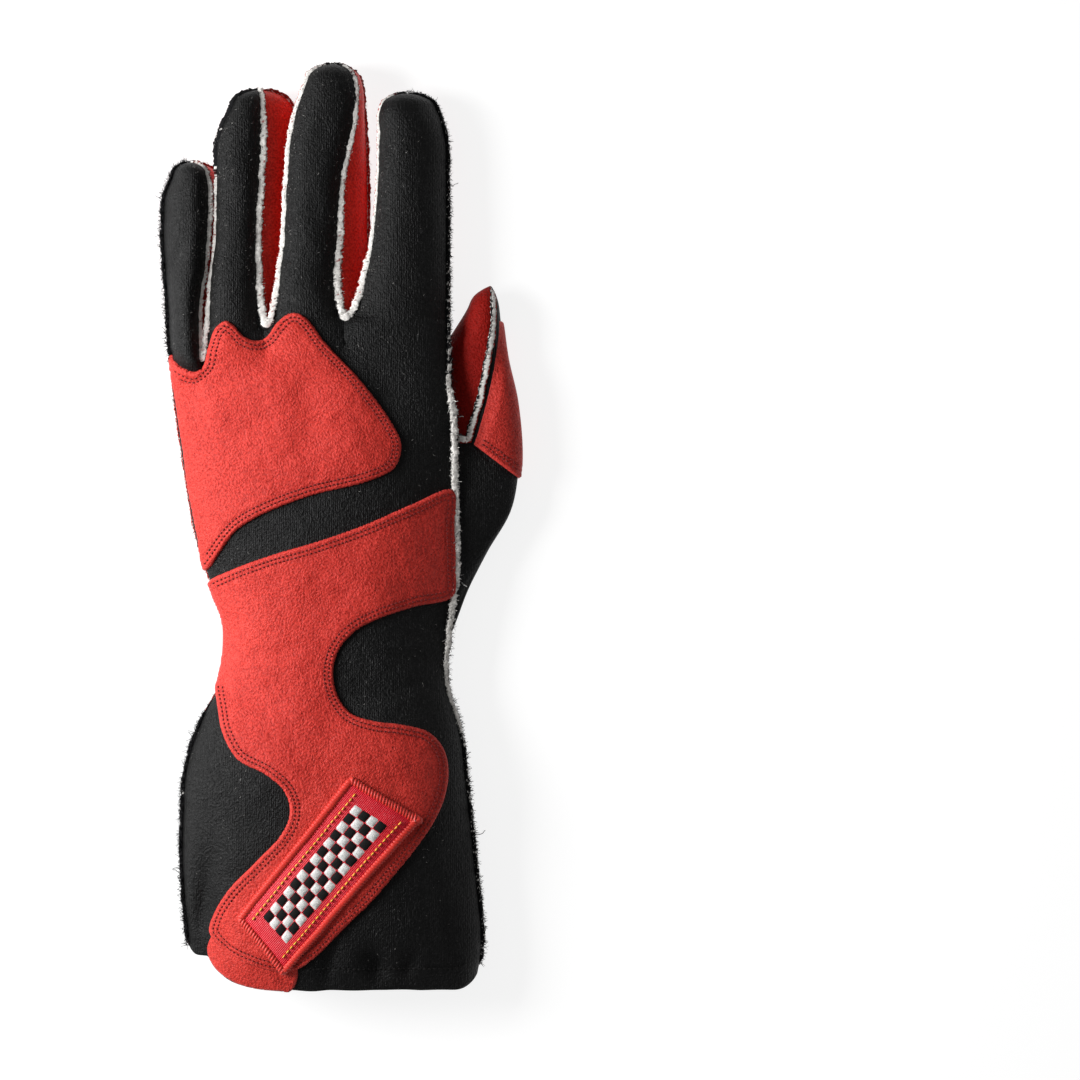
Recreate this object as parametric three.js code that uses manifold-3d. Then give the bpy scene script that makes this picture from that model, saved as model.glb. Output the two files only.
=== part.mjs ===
// A left-hand racing glove that lies palm down, its back up, with an open gauntlet cuff.
// Millimetres. X runs from the little finger to the thumb, Y from the hem to the fingertips, Z up.
// Each panel is a wall of constant thickness round a middle surface. Neighbouring panels share the
// points of their seam, so that they meet edge to edge and leave the hand's hollow open at the hem.
import * as THREE from 'three';
import { mergeVertices } from 'three/addons/utils/BufferGeometryUtils.js';
import Module from 'manifold-3d';

const wasm = await Module();
wasm.setup();

const WALL = 1.6;
const OVERLAY = 1.2;
const GAP = 0.3;
const SEAM_CUT = 0.24;
const OVERLAY_LIFT = 0.42;
const OVERLAY_CUT = 2.2;
const FOLD_CUT = 0.85;
const SEAM_WIDTH = 1.3;
const SEAM_HEIGHT = 1.3;
const SEAM_LIFT = 0.5;
const MITRE_LIMIT = 0.62;
const LEAST_FACING = 0.2;
const MERGE_TOLERANCE = 1e-5;
const REST_Z = WALL / 2;
const OVERLAY_BASE = WALL / 2 + OVERLAY_LIFT;

const COLOURS = {
  knit: { color: 0x17171b, roughness: 0.95 },
  redSuede: { color: 0x8c1219, roughness: 0.85 },
  blackSuede: { color: 0x1d1b1c, roughness: 0.9 },
  rawEdge: { color: 0xc9c5bf, roughness: 0.95 },
  satin: { color: 0x9a1a1c, roughness: 0.5 },
};

// Reads rows of numbers as objects with named columns.
const table = (columns, rows) =>
  rows.map((row) => Object.fromEntries(columns.map((name, i) => [name, row[i]])));

// Cross sections of the hand, hem first. The two seams run along the little-finger side and the
// thumb side, crown and floor are the highest and lowest points between them, web lifts the palm
// over the thumb, even tells how far the columns are spaced evenly and not by the fingers, and soft
// how gently the back slopes down to the thumb-side seam.
const SECTIONS = table(
  ['y', 'ulnarX', 'radialX', 'ulnarZ', 'radialZ', 'crown', 'floor', 'web', 'even', 'soft'], [
    [-166.4, -54.0, 48.9, 10.5, 10.5, 24.0, 0.2, 0, 1, 0],
    [-157.0, -54.5, 49.9, 11.5, 11.5, 27.5, 0.2, 0, 1, 0],
    [-146.0, -55.3, 49.7, 12.0, 12.0, 29.5, 0.2, 0, 1, 0],
    [-132.0, -56.0, 48.4, 12.5, 12.5, 31.0, 0.2, 0, 1, 0],
    [-118.0, -56.4, 47.2, 13.0, 13.0, 31.5, 0.2, 0, 1, 0],
    [-104.0, -56.1, 45.7, 13.0, 13.0, 31.5, 0.2, 0, 1, 0],
    [-91.0, -55.4, 44.2, 13.0, 13.0, 31.0, 0.2, 0, 1, 0],
    [-79.0, -52.6, 42.9, 13.0, 13.0, 30.0, 0.2, 0, 1, 0],
    [-68.0, -48.2, 40.4, 13.0, 13.0, 28.5, 1.2, 0, 1, 0],
    [-59.0, -43.6, 37.7, 13.0, 13.0, 27.3, 2.0, 0, 1, 0],
    [-50.0, -41.3, 37.0, 13.0, 13.0, 26.5, 3.2, 0, 1, 0.4],
    [-41.5, -40.7, 38.0, 12.8, 13.0, 26.0, 4.6, 0, 0.95, 0.8],
    [-35.0, -41.1, 38.6, 12.5, 13.2, 26.0, 4.6, 0, 0.9, 1],
    [-28.0, -43.5, 39.8, 12.2, 13.6, 26.2, 3.6, 0, 0.8, 1],
    [-16.0, -47.7, 41.3, 11.8, 14.3, 26.5, 2.6, 0, 0.7, 1],
    [-4.0, -51.5, 41.2, 11.4, 15.2, 26.8, 1.8, 0, 0.55, 1],
    [8.0, -53.8, 40.9, 11.2, 16.0, 27.0, 1.8, 0, 0.4, 1],
    [20.0, -55.7, 40.6, 11.0, 17.0, 27.0, 1.8, 0, 0.3, 1],
    [31.0, -57.4, 40.4, 10.8, 17.8, 26.8, 1.8, 0, 0.2, 1],
    [40.0, -58.7, 40.0, 10.5, 18.2, 26.4, 1.8, 5, 0.1, 0.8],
    [50.0, -59.9, 38.2, 10.0, 17.6, 25.6, 1.8, 5, 0, 0.4],
  ]);
const WRIST_Y = -41.5;
const KEYSTONE_END_Y = -28;
const THUMB_SEAM_Y = 31;
const WEB_Y = 40;
const rowAt = (y) => SECTIONS.findIndex((section) => section.y === y);
const WRIST = rowAt(WRIST_Y);
const KEYSTONE_END = rowAt(KEYSTONE_END_Y);
const THUMB_SEAM = rowAt(THUMB_SEAM_Y);
const WEB = rowAt(WEB_Y);
const LAST = SECTIONS.length - 1;

// The hem sweeps up at its two corners, over this share of the width and by this much.
const HEM_CORNERS = { ulnar: { share: 0.36, rise: 15 }, radial: { share: 0.08, rise: 8 } };
const HEM_ROWS = 4;

// Four columns of the grid for each finger, closer together at the finger's sides.
const FINGERS = 4;
const FINGER_COLUMNS = [0, 0.22, 0.5, 0.78, 1];
const PER_FINGER = FINGER_COLUMNS.length - 1;
const COLUMNS = FINGERS * PER_FINGER;
const EVEN_SHARE = [0, 0.2, 0.5, 0.8, 1];
const BACK_SHARE = [0, 0.118, 0.35, 0.63, 1];
const PALM_SHARE = [0, 0.262, 0.525, 0.785, 1];
const PALM_COLUMNS = 3 * PER_FINGER;

// Where the fingers part, on the back and on the palm, with the outer seams at both ends.
const CROTCHES = table(['backX', 'backY', 'backZ', 'palmX', 'palmY', 'palmZ'], [
  [-60.8, 64.0, 9.6, -60.8, 64.0, 9.6],
  [-50.0, 58.7, 16.5, -36.7, 71.3, 5.4],
  [-26.6, 71.3, 16.5, -11.9, 82.4, 5.4],
  [1.8, 74.2, 16.5, 12.6, 82.4, 5.4],
  [37.7, 73.0, 14.5, 37.7, 73.0, 14.5],
]);

// Finger outlines above the crotches: the two edges of the back strip and of the palm strip.
const FINGER_COLUMN_NAMES = ['y', 'backLeft', 'backRight', 'palmLeft', 'palmRight'];
const OUTLINES = [
  { tipX: -54.4, tipY: 129.8, rows: table(FINGER_COLUMN_NAMES, [
    [78, -61.6, -51.0, -61.6, -40.0],
    [92, -62.7, -49.0, -62.7, -41.5],
    [108, -63.4, -47.6, -63.4, -42.2],
    [119, -62.6, -47.4, -62.6, -43.4],
    [125, -60.2, -48.2, -60.2, -45.6],
  ]) },
  { tipX: -29.4, tipY: 155.8, rows: table(FINGER_COLUMN_NAMES, [
    [86, -46.8, -29.4, -34.0, -15.5],
    [101, -45.0, -30.0, -33.0, -16.0],
    [121, -44.5, -29.0, -33.0, -16.0],
    [142, -43.0, -28.0, -33.0, -16.4],
    [149.5, -39.2, -28.4, -32.0, -18.0],
  ]) },
  { tipX: -2.6, tipY: 165.2, rows: table(FINGER_COLUMN_NAMES, [
    [87, -22.5, -1.5, -12.0, 9.5],
    [103, -20.5, -0.5, -12.5, 8.8],
    [124, -19.5, 0.5, -12.6, 8.6],
    [147, -16.6, 5.0, -12.2, 7.4],
    [158.5, -12.6, 5.2, -9.5, 6.2],
  ]) },
  { tipX: 23.2, tipY: 154.6, rows: table(FINGER_COLUMN_NAMES, [
    [87, 8.0, 37.6, 15.5, 37.6],
    [103, 11.5, 37.6, 17.5, 37.6],
    [124, 13.5, 37.5, 19.5, 37.5],
    [141, 14.0, 36.6, 20.0, 36.6],
    [149, 14.2, 34.0, 18.6, 34.0],
  ]) },
];

// Heights at the foot and at the end of a finger: the outer seams of the little and the index
// finger, the back's and the palm's other seams, and the highest and lowest lines between them.
const FINGER_BASE = { outerLeft: 9.8, outerRight: 13.5, back: 15.6, palm: 5.4, crown: 22, floor: 1.8 };
const FINGER_END = { outerLeft: 9, outerRight: 9, back: 13.6, palm: 4.6, crown: 18.6, floor: 0.8 };
const TIP_Z = 8;
const TIP_ANGLES = [30, 56, 77, 90];
const TIP_FULLNESS = 0.7;
const CROTCH_ROUNDING = 0.25;
const FOURCHETTE_COLUMNS = 2;
const FOURCHETTE_BULGE = 0.6;
const FOURCHETTE_FULL_HEIGHT = 8;

// Where the palm ends towards the thumb, one row for each section from the wrist to the web: first
// along the thumb's back, then along the keystone seam that sets the thumb into the palm.
const KEYSTONE = table(['x', 'z'], [
  [10.5, 4.6],
  [12.3, 4.2],
  [14.0, 3.6],
  [9.2, 3.0],
  [4.0, 3.0],
  [-0.3, 3.0],
  [-1.3, 3.0],
  [1.0, 3.2],
  [18.7, 6.0],
]);
const CUFF_SPLIT = 0.75;
const SPLIT_ROWS = 4;
const WEB_LIFT = { from: 0.68, full: 0.9, edge: 12 };

// Rings round the thumb, wrist end first: its left and right edge in plan, their heights, half the
// thickness, and the angles of the upper seam and of the lower seam, from the left edge over the top.
const THUMB_RINGS = table(
  ['leftX', 'leftY', 'leftZ', 'rightX', 'rightY', 'rightZ', 'half', 'upper', 'lower'], [
    [24.5, 45.5, 4.2, 63.0, 19.0, 9.0, 7.6, 96, 281],
    [32.8, 55.0, 4.6, 61.8, 43.5, 9.0, 7.0, 103, 276],
    [39.8, 67.5, 5.4, 58.0, 61.3, 8.5, 6.4, 118, 277],
    [46.0, 77.5, 6.6, 56.6, 74.0, 8.2, 5.8, 128, 284],
  ]);
const THUMB_TIP = new THREE.Vector3(53.6, 85.4, 7.4);
const THUMB_TIP_ANGLES = [35, 62, 90];
const THUMB_TIP_POINT = 1.8;
const THUMB_BASE_STEPS = table(['share', 'bulge'], [[0.12, 0.74], [0.25, 1.41], [0.5, 2], [0.75, 2.8]]);
const THUMB_BULGE = new THREE.Vector3(1, -0.75, 0);
const WEB_ANGLES = { corner: 355, joint: 440, clearance: 12 };

// Soft hollows pressed into the back and into the palm: centre, half sizes and depth.
const HOLLOW_FALLOFF = 1.4;
const HOLLOW_COLUMNS = ['x', 'y', 'halfX', 'halfY', 'depth'];
const BACK_HOLLOWS = table(HOLLOW_COLUMNS, [
  [-47, -133, 8, 30, 3.0],
  [43, -120, 9, 26, 3.0],
  [10, -60, 34, 12, 1.6],
  [-12, 42, 8, 16, 1.2],
  [16, 44, 9, 18, 1.4],
]);
const PALM_HOLLOWS = table(HOLLOW_COLUMNS, [
  [-20, 52, 36, 6, 2.2],
  [-22, 4, 12, 26, 1.4],
  [-10, -60, 26, 8, 1.6],
]);
const ROUNDING = {
  crown: { flat: 2.6, full: 0.62 },
  slope: { flat: 2.2, full: 1 },
  floor: { flat: 3.2, full: 0.7 },
  finger: { flat: 2.3, full: 0.8 },
};
const GATHER = { top: -24, bottom: -52, depth: 0.9 };

// Control points of the outlines that are cut in plan, each list going once round its piece.
const UPPER_OVERLAY = [
  [-68, 68], [-59.8, 59], [-55.3, 55.8], [-52, 54.9], [-48.9, 57.2], [-46.8, 64], [-44.5, 70.6],
  [-41, 73.2], [-38, 71.4], [-34.6, 67.5], [-30.2, 65.9], [-26.4, 67.2], [-22.4, 72.2], [-18.4, 75.6],
  [-14.4, 75.6], [-10.6, 72.4], [-5.8, 65.7], [6.8, 52.2], [18.2, 37], [21.8, 29], [19.6, 20.6],
  [10, 15.6], [-13, 9.6], [-36, -1.2], [-49.5, -16], [-68, -24],
];
const LOWER_OVERLAY = [
  [52, 17], [28.5, 9], [-0.5, -3], [-25.5, -11], [-48, -20], [-64, -28], [-60, -50], [-45, -55.5],
  [-41.5, -77.5], [-33, -85], [-20.5, -92], [-17.5, -101], [-27.5, -119], [-43, -137], [-47, -152],
  [-60, -178], [-17, -178], [-15, -161], [-7, -154.5], [18, -128], [32, -110], [38.5, -93], [34, -77.5],
  [20, -71.5], [4, -66], [-1.8, -54], [3, -41.5], [21, -33], [40, -25.5], [53, -21],
];
const PALM_OVERLAY = [
  [-59.5, 62], [-58.5, 43], [-54.5, 18], [-49, -4], [-44.5, -21], [-36, -27.5], [-24, -28], [-11.5, -22],
  [-4.7, -9.5], [-3, 10], [-2.4, 27], [4, 39], [17.5, 44.5], [34, 48], [35.5, 60], [36, 84], [28.5, 92.3],
  [18, 82], [11, 77.5], [5.5, 84.5], [-0.5, 90.5], [-7, 84], [-12.2, 75], [-18, 81.5], [-24, 87.5],
  [-30, 81], [-36.5, 63], [-43, 71], [-51, 80], [-57.5, 75.5],
];
const OUTLINE_STEPS = 3;
const OUTLINE_MARGIN = 2;
const BADGE_CORNERS = [[5.2, -90.5], [28.4, -105.8], [-18.2, -159.3], [-35.6, -140]];
const PALM_REST = { z: OVERLAY_BASE + OVERLAY, from: -32, to: 92, fade: 14 };
const CUT_BOTTOM = -20;
const CUT_TOP = 60;

const THUMB_OVERLAY_ROWS = { from: 5, to: 8 };
const THUMB_OVERLAY_COLUMNS = { from: 0, to: 7 };

const UP = new THREE.Vector3(0, 0, 1);
const radians = THREE.MathUtils.degToRad;
const lerp = THREE.MathUtils.lerp;
const point = (x, y, z) => new THREE.Vector3(x, y, Math.max(z, REST_Z));

// The palm rests on its overlay, which ends a little way up the fingers.
function palmPoint(x, y, z) {
  const { smoothstep } = THREE.MathUtils;
  const { from, to, fade } = PALM_REST;
  const covered = smoothstep(y, from - fade, from) * (1 - smoothstep(y, to, to + fade));
  return point(x, y, Math.max(z, lerp(REST_Z, PALM_REST.z, covered)));
}

// Height share of a rounded section: 0 at both seams, 1 in the middle.
const rounded = (s, { flat, full }) => (1 - Math.min(Math.abs(2 * s - 1), 1) ** flat) ** full;
const crownShare = (s) => rounded(s, ROUNDING.crown);
const softShare = (s, soft) => lerp(crownShare(s), rounded(s, ROUNDING.slope), s > 0.5 ? soft : 0);
const floorShare = (s) => rounded(s, ROUNDING.floor);
const fingerShare = (s) => rounded(s, ROUNDING.finger);

const hollowDepth = (hollows, x, y) => hollows.reduce((sum, hollow) => {
  const reach = ((x - hollow.x) / hollow.halfX) ** 2 + ((y - hollow.y) / hollow.halfY) ** 2;
  return sum + hollow.depth * Math.exp(-HOLLOW_FALLOFF * reach);
}, 0);

// Share of the hand's width at a column, spaced by the fingers' shares, evenly or between the two.
function columnShare(shares, even, column) {
  const finger = Math.min(Math.floor(column / PER_FINGER), FINGERS - 1);
  const local = FINGER_COLUMNS[column - finger * PER_FINGER];
  const byFinger = lerp(shares[finger], shares[finger + 1], local);
  const evenly = lerp(EVEN_SHARE[finger], EVEN_SHARE[finger + 1], local);
  return lerp(byFinger, evenly, even);
}

function hemRise(row, share) {
  const { ulnar, radial } = HEM_CORNERS;
  const near = Math.max(0, 1 - row / HEM_ROWS);
  const left = Math.max(0, 1 - share / ulnar.share) ** 2 * ulnar.rise;
  const round = Math.max(0, 1 - (1 - share) / radial.share);
  const right = (1 - Math.sqrt(1 - round ** 2)) * radial.rise;
  return near * (left + right);
}

function backHandPoint(row, column) {
  const section = SECTIONS[row];
  const share = columnShare(BACK_SHARE, section.even, column);
  const x = lerp(section.ulnarX, section.radialX, share);
  const y = section.y + hemRise(row, share);
  const seam = lerp(section.ulnarZ, section.radialZ, share);
  const middle = (section.ulnarZ + section.radialZ) / 2;
  const press = hollowDepth(BACK_HOLLOWS, x, y) * crownShare(share);
  return point(x, y, seam + (section.crown - middle) * softShare(share, section.soft) - press);
}

// Share of the width where the thumb-side quarter of the palm's columns begins.
function splitShare(row) {
  const { ulnarX, radialX, even } = SECTIONS[row];
  const shareOf = (x) => (x - ulnarX) / (radialX - ulnarX);
  if (row >= WRIST && row <= WEB) return shareOf(KEYSTONE[row - WRIST].x);
  if (row > WEB) return lerp(PALM_SHARE[3], CUFF_SPLIT, even);
  return lerp(CUFF_SPLIT, shareOf(KEYSTONE[0].x), Math.max(0, 1 - (WRIST - row) / SPLIT_ROWS));
}

const webShare = (across) =>
  THREE.MathUtils.smoothstep(across, WEB_LIFT.from, WEB_LIFT.full) * (1 - across ** WEB_LIFT.edge);

// Palm side. Its columns are squeezed towards the little finger as far as the keystone seam runs.
function palmHandPoint(row, column) {
  const section = SECTIONS[row];
  const split = splitShare(row);
  const share = columnShare(PALM_SHARE, section.even, column);
  const shareAtSplit = columnShare(PALM_SHARE, section.even, PALM_COLUMNS);
  const across = column <= PALM_COLUMNS
    ? (share / shareAtSplit) * split
    : lerp(split, 1, (share - shareAtSplit) / (1 - shareAtSplit));
  const x = lerp(section.ulnarX, section.radialX, across);
  const y = section.y + hemRise(row, across);
  const seam = lerp(section.ulnarZ, section.radialZ, across);
  const middle = (section.ulnarZ + section.radialZ) / 2;
  const lift = section.web * webShare(across);
  const drop = (middle - section.floor) * floorShare(across);
  const gathered = y < GATHER.top && y > GATHER.bottom && column > 0 && column < COLUMNS;
  const ripple = gathered ? GATHER.depth * (column % 2 ? 1 : -1) : 0;
  const press = hollowDepth(PALM_HOLLOWS, x, y) * floorShare(across);
  const onKeystone = row > WRIST && row < WEB && column === PALM_COLUMNS;
  return palmPoint(x, y, onKeystone ? KEYSTONE[row - WRIST].z : seam - drop + lift + press + ripple);
}

// Middle-surface heights of a finger, at a share of its length from crotch to last outline row.
function fingerHeights(along) {
  const heights = {};
  for (const name of Object.keys(FINGER_BASE)) {
    heights[name] = lerp(FINGER_BASE[name], FINGER_END[name], along);
  }
  return heights;
}

// One row across a finger strip, from its left seam to its right seam, bowed by the given height.
function stripRow(left, right, bow) {
  const place = bow < 0 ? palmPoint : point;
  return FINGER_COLUMNS.map((s) => {
    const p = left.clone().lerp(right, s);
    return place(p.x, p.y, p.z + bow * fingerShare(s));
  });
}

// Rows of a finger's back or palm strip, crotch first, tip last. Both sides end in the same tip.
function fingerRows(finger, side) {
  const outline = OUTLINES[finger];
  const isBack = side === 'back';
  const crest = isBack ? 'crown' : 'floor';
  const outerLeft = finger === 0;
  const outerRight = finger === FINGERS - 1;
  const seamPair = (heights) => [
    outerLeft ? heights.outerLeft : heights[side],
    outerRight ? heights.outerRight : heights[side],
  ];
  const ends = CROTCHES.slice(finger, finger + 2).map((c) =>
    isBack ? point(c.backX, c.backY, c.backZ) : point(c.palmX, c.palmY, c.palmZ));
  const rows = [{ left: ends[0], right: ends[1], crest: fingerHeights(0)[crest] }];
  outline.rows.forEach((row, i) => {
    const heights = fingerHeights((i + 1) / outline.rows.length);
    const [leftZ, rightZ] = seamPair(heights);
    const left = point(isBack ? row.backLeft : row.palmLeft, row.y, leftZ);
    const right = point(isBack ? row.backRight : row.palmRight, row.y, rightZ);
    rows.push({ left, right, crest: heights[crest] });
  });
  const [base, first] = rows;
  const near = {
    left: roundedCrotch(base.left, first.left),
    right: roundedCrotch(base.right, first.right),
    crest: lerp(base.crest, first.crest, CROTCH_ROUNDING),
  };
  rows.splice(1, 0, near);
  const last = rows[rows.length - 1];
  const tip = point(outline.tipX, outline.tipY, TIP_Z);
  for (const angle of TIP_ANGLES) {
    const shrink = Math.cos(radians(angle));
    const advance = Math.sin(radians(angle));
    const towardsTip = (p) => point(
      lerp(tip.x, p.x, shrink), lerp(p.y, tip.y, advance), lerp(tip.z, p.z, shrink));
    const crestZ = lerp(tip.z, last.crest, Math.max(shrink, 0) ** TIP_FULLNESS);
    rows.push({ left: towardsTip(last.left), right: towardsTip(last.right), crest: crestZ });
  }
  rows[rows.length - 1] = { left: tip, right: tip, crest: TIP_Z };
  return rows.map(({ left: a, right: b, crest: top }) => stripRow(a, b, top - (a.z + b.z) / 2));
}

// A point just above a crotch, where the gap between two fingers is already wide.
function roundedCrotch(base, next) {
  const width = Math.sqrt(CROTCH_ROUNDING);
  return point(
    lerp(base.x, next.x, width),
    lerp(base.y, next.y, CROTCH_ROUNDING),
    lerp(base.z, next.z, width),
  );
}

const backFingers = OUTLINES.map((_, finger) => fingerRows(finger, 'back'));
const palmFingers = OUTLINES.map((_, finger) => fingerRows(finger, 'palm'));

// The row through all four crotches, and one halfway between it and the knuckles.
const crotchRow = (fingers) => fingers.flatMap((rows, i) => (i ? rows[0].slice(1) : rows[0]));
const halfway = (a, b) => a.map((p, i) => p.clone().lerp(b[i], 0.5));
const columnRange = (from, to) => Array.from({ length: to - from + 1 }, (_, i) => from + i);
const backHand = SECTIONS.map((_, row) => columnRange(0, COLUMNS).map((c) => backHandPoint(row, c)));
const palmHand = SECTIONS.map((_, row) => {
  const end = row > WRIST && row < WEB ? PALM_COLUMNS : COLUMNS;
  return columnRange(0, end).map((c) => palmHandPoint(row, c));
});
const backCrotch = crotchRow(backFingers);
const palmCrotch = crotchRow(palmFingers);
const backKnuckles = [backHand[LAST], halfway(backHand[LAST], backCrotch), backCrotch];
const palmKnuckles = [palmHand[LAST], halfway(palmHand[LAST], palmCrotch), palmCrotch];

// A panel's middle surface: triangles between points that are looked up by place, so that panels
// which share a seam share its points too.
const keyOf = (p) => `${p.x.toFixed(3)},${p.y.toFixed(3)},${p.z.toFixed(3)}`;
const seamNormals = new Map();

class Panel {
  constructor() {
    this.points = new Map();
    this.faces = [];
  }

  face(a, b, c) {
    const corners = [a, b, c];
    const keys = corners.map(keyOf);
    if (new Set(keys).size < 3) return;
    corners.forEach((p, i) => this.points.set(keys[i], p));
    this.faces.push(keys);
  }

  // Adds a grid of rows. Seen from outside, rows run up and columns to the right unless flipped.
  grid(rows, flip = false) {
    for (let r = 0; r + 1 < rows.length; r += 1) {
      for (let c = 0; c + 1 < rows[r].length; c += 1) {
        const [a, b, d, e] = [rows[r][c], rows[r][c + 1], rows[r + 1][c + 1], rows[r + 1][c]];
        if (flip) {
          this.face(a, d, b);
          this.face(a, e, d);
        } else {
          this.face(a, b, d);
          this.face(a, d, e);
        }
      }
    }
    return this;
  }

  normals() {
    const sums = new Map([...this.points.keys()].map((key) => [key, new THREE.Vector3()]));
    for (const keys of this.faces) {
      const [a, b, c] = keys.map((key) => this.points.get(key));
      const normal = b.clone().sub(a).cross(c.clone().sub(a));
      keys.forEach((key) => sums.get(key).add(normal));
    }
    return sums;
  }

  // The edges with a face on one side only, as a map from each point to the next and the one before.
  rim() {
    const open = new Map();
    for (const keys of this.faces) {
      keys.forEach((key, i) => open.set(`${key}|${keys[(i + 1) % 3]}`, [key, keys[(i + 1) % 3]]));
    }
    const edges = [...open.values()].filter(([a, b]) => !open.has(`${b}|${a}`));
    return { edges, next: new Map(edges), before: new Map(edges.map(([a, b]) => [b, a])) };
  }

  within(test) {
    const part = new Panel();
    for (const keys of this.faces) {
      const corners = keys.map((key) => this.points.get(key));
      if (corners.some(test)) part.face(...corners);
    }
    return part;
  }
}

// Walls are thickened along normals that all panels share, so that their ends are cut to one mitre.
function shareNormals(panels) {
  for (const panel of panels) {
    for (const [key, normal] of panel.normals()) {
      const sum = seamNormals.get(key) ?? new THREE.Vector3();
      seamNormals.set(key, sum.add(normal.clone().normalize()));
    }
  }
  for (const normal of seamNormals.values()) normal.normalize();
}

// A closed wall between two distances from the middle surface, its rim drawn in by cut.
function wallGeometry(panel, from, to, cut) {
  const own = panel.normals();
  const { edges, next, before } = panel.rim();
  const keys = [...panel.points.keys()];
  const index = new Map(keys.map((key, i) => [key, i]));
  const layers = [[], []];
  for (const key of keys) {
    const place = panel.points.get(key).clone();
    const normal = seamNormals.get(key);
    const ownNormal = own.get(key).clone().normalize();
    const facing = THREE.MathUtils.clamp(normal.dot(ownNormal), LEAST_FACING, 1);
    const mitre = 1 / Math.max(facing, MITRE_LIMIT);
    const lean = Math.max(0, Math.tan(Math.acos(facing)) - Math.tan(Math.acos(MITRE_LIMIT)));
    if (next.has(key) && before.has(key)) {
      const along = panel.points.get(next.get(key)).clone().sub(panel.points.get(before.get(key)));
      const inwards = ownNormal.clone().cross(along).normalize();
      place.addScaledVector(inwards, cut + (lean * WALL) / 2);
    }
    for (const [layer, distance] of [[0, to], [1, from]]) {
      const corner = place.clone().addScaledVector(normal, distance * mitre);
      corner.z = Math.max(corner.z, 0);
      layers[layer].push(corner);
    }
  }
  const count = keys.length;
  const triangles = [];
  for (const face of panel.faces) {
    const [a, b, c] = face.map((key) => index.get(key));
    triangles.push([a, b, c], [a + count, c + count, b + count]);
  }
  for (const [first, second] of edges) {
    const [a, b] = [index.get(first), index.get(second)];
    triangles.push([a, a + count, b + count], [a, b + count, b]);
  }
  return indexedGeometry(layers.flat(), triangles);
}

function indexedGeometry(points, triangles) {
  const geometry = new THREE.BufferGeometry();
  geometry.setAttribute('position', new THREE.Float32BufferAttribute(points.flatMap((p) => p.toArray()), 3));
  geometry.setIndex(triangles.flat());
  return geometry;
}

const toSolid = (geometry) => {
  const bare = geometry.clone();
  bare.deleteAttribute('normal');
  bare.deleteAttribute('uv');
  const merged = mergeVertices(bare, MERGE_TOLERANCE);
  return new wasm.Manifold(new wasm.Mesh({
    numProp: 3,
    vertProperties: new Float32Array(merged.attributes.position.array),
    triVerts: new Uint32Array(merged.index.array),
  }));
};

const fromSolid = (solid) => {
  const mesh = solid.getMesh();
  const geometry = new THREE.BufferGeometry();
  geometry.setAttribute('position', new THREE.BufferAttribute(new Float32Array(mesh.vertProperties), 3));
  geometry.setIndex([...mesh.triVerts]);
  return geometry;
};

// Upright cutter with a straight-sided or a smooth outline.
function cutter(corners, smooth) {
  const points = corners.map(([x, y]) => new THREE.Vector2(x, y));
  let outline = points;
  if (smooth) {
    const flat = points.map((p) => new THREE.Vector3(p.x, p.y, 0));
    const curve = new THREE.CatmullRomCurve3(flat, true, 'centripetal');
    outline = [];
    for (let i = 0; i < flat.length * OUTLINE_STEPS; i += 1) {
      const p = curve.getPoint(i / (flat.length * OUTLINE_STEPS));
      outline.push(new THREE.Vector2(p.x, p.y));
    }
  }
  const shape = new THREE.Shape(outline);
  const block = new THREE.ExtrudeGeometry(shape, { depth: CUT_TOP - CUT_BOTTOM, bevelEnabled: false });
  return toSolid(block.translate(0, 0, CUT_BOTTOM));
}

// Suede laid over a panel: a second wall outside the first, cut to its outline in plan.
function overlayGeometry(panel, corners, { floor = 0, thickness = OVERLAY, smooth = true } = {}) {
  const from = OVERLAY_BASE + floor;
  const ys = corners.map(([, y]) => y);
  const [low, high] = [Math.min(...ys) - OUTLINE_MARGIN, Math.max(...ys) + OUTLINE_MARGIN];
  const near = panel.within((p) => p.y > low && p.y < high);
  const wall = toSolid(wallGeometry(near, from, from + thickness, OVERLAY_CUT));
  return fromSolid(wall.intersect(cutter(corners, smooth)));
}

// Raw edge that stands out along a seam, on the line of the given seam points, turned upright by a
// share where it has to clear the next finger.
function seamEdgeGeometry(path, upright = 0) {
  const corners = [];
  path.forEach((place, i) => {
    const normal = seamNormals.get(keyOf(place)).clone().lerp(UP, upright).normalize();
    const ahead = path[Math.min(i + 1, path.length - 1)];
    const behind = path[Math.max(i - 1, 0)];
    const side = ahead.clone().sub(behind).cross(normal).normalize().multiplyScalar(SEAM_WIDTH / 2);
    const base = place.clone().addScaledVector(normal, WALL / 2 + SEAM_LIFT);
    const top = base.clone().addScaledVector(normal, SEAM_HEIGHT);
    corners.push(base.clone().sub(side), base.clone().add(side));
    corners.push(top.clone().add(side), top.clone().sub(side));
  });
  const triangles = [[0, 1, 2], [0, 2, 3]];
  for (let i = 0; i + 1 < path.length; i += 1) {
    for (let k = 0; k < 4; k += 1) {
      const [a, b] = [i * 4 + k, i * 4 + ((k + 1) % 4)];
      triangles.push([a, a + 4, b + 4], [a, b + 4, b]);
    }
  }
  const end = (path.length - 1) * 4;
  triangles.push([end, end + 2, end + 1], [end, end + 3, end + 2]);
  return indexedGeometry(corners, triangles);
}

// The back: knit from the hem to the four fingertips, divided at the wrist like the palm side.
const cuffBack = new Panel().grid(backHand.slice(0, WRIST + 1));
const handBack = new Panel().grid(backHand.slice(WRIST)).grid(backKnuckles);
backFingers.forEach((rows) => handBack.grid(rows));
const back = new Panel().grid(backHand).grid(backKnuckles);
backFingers.forEach((rows) => back.grid(rows));

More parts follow.
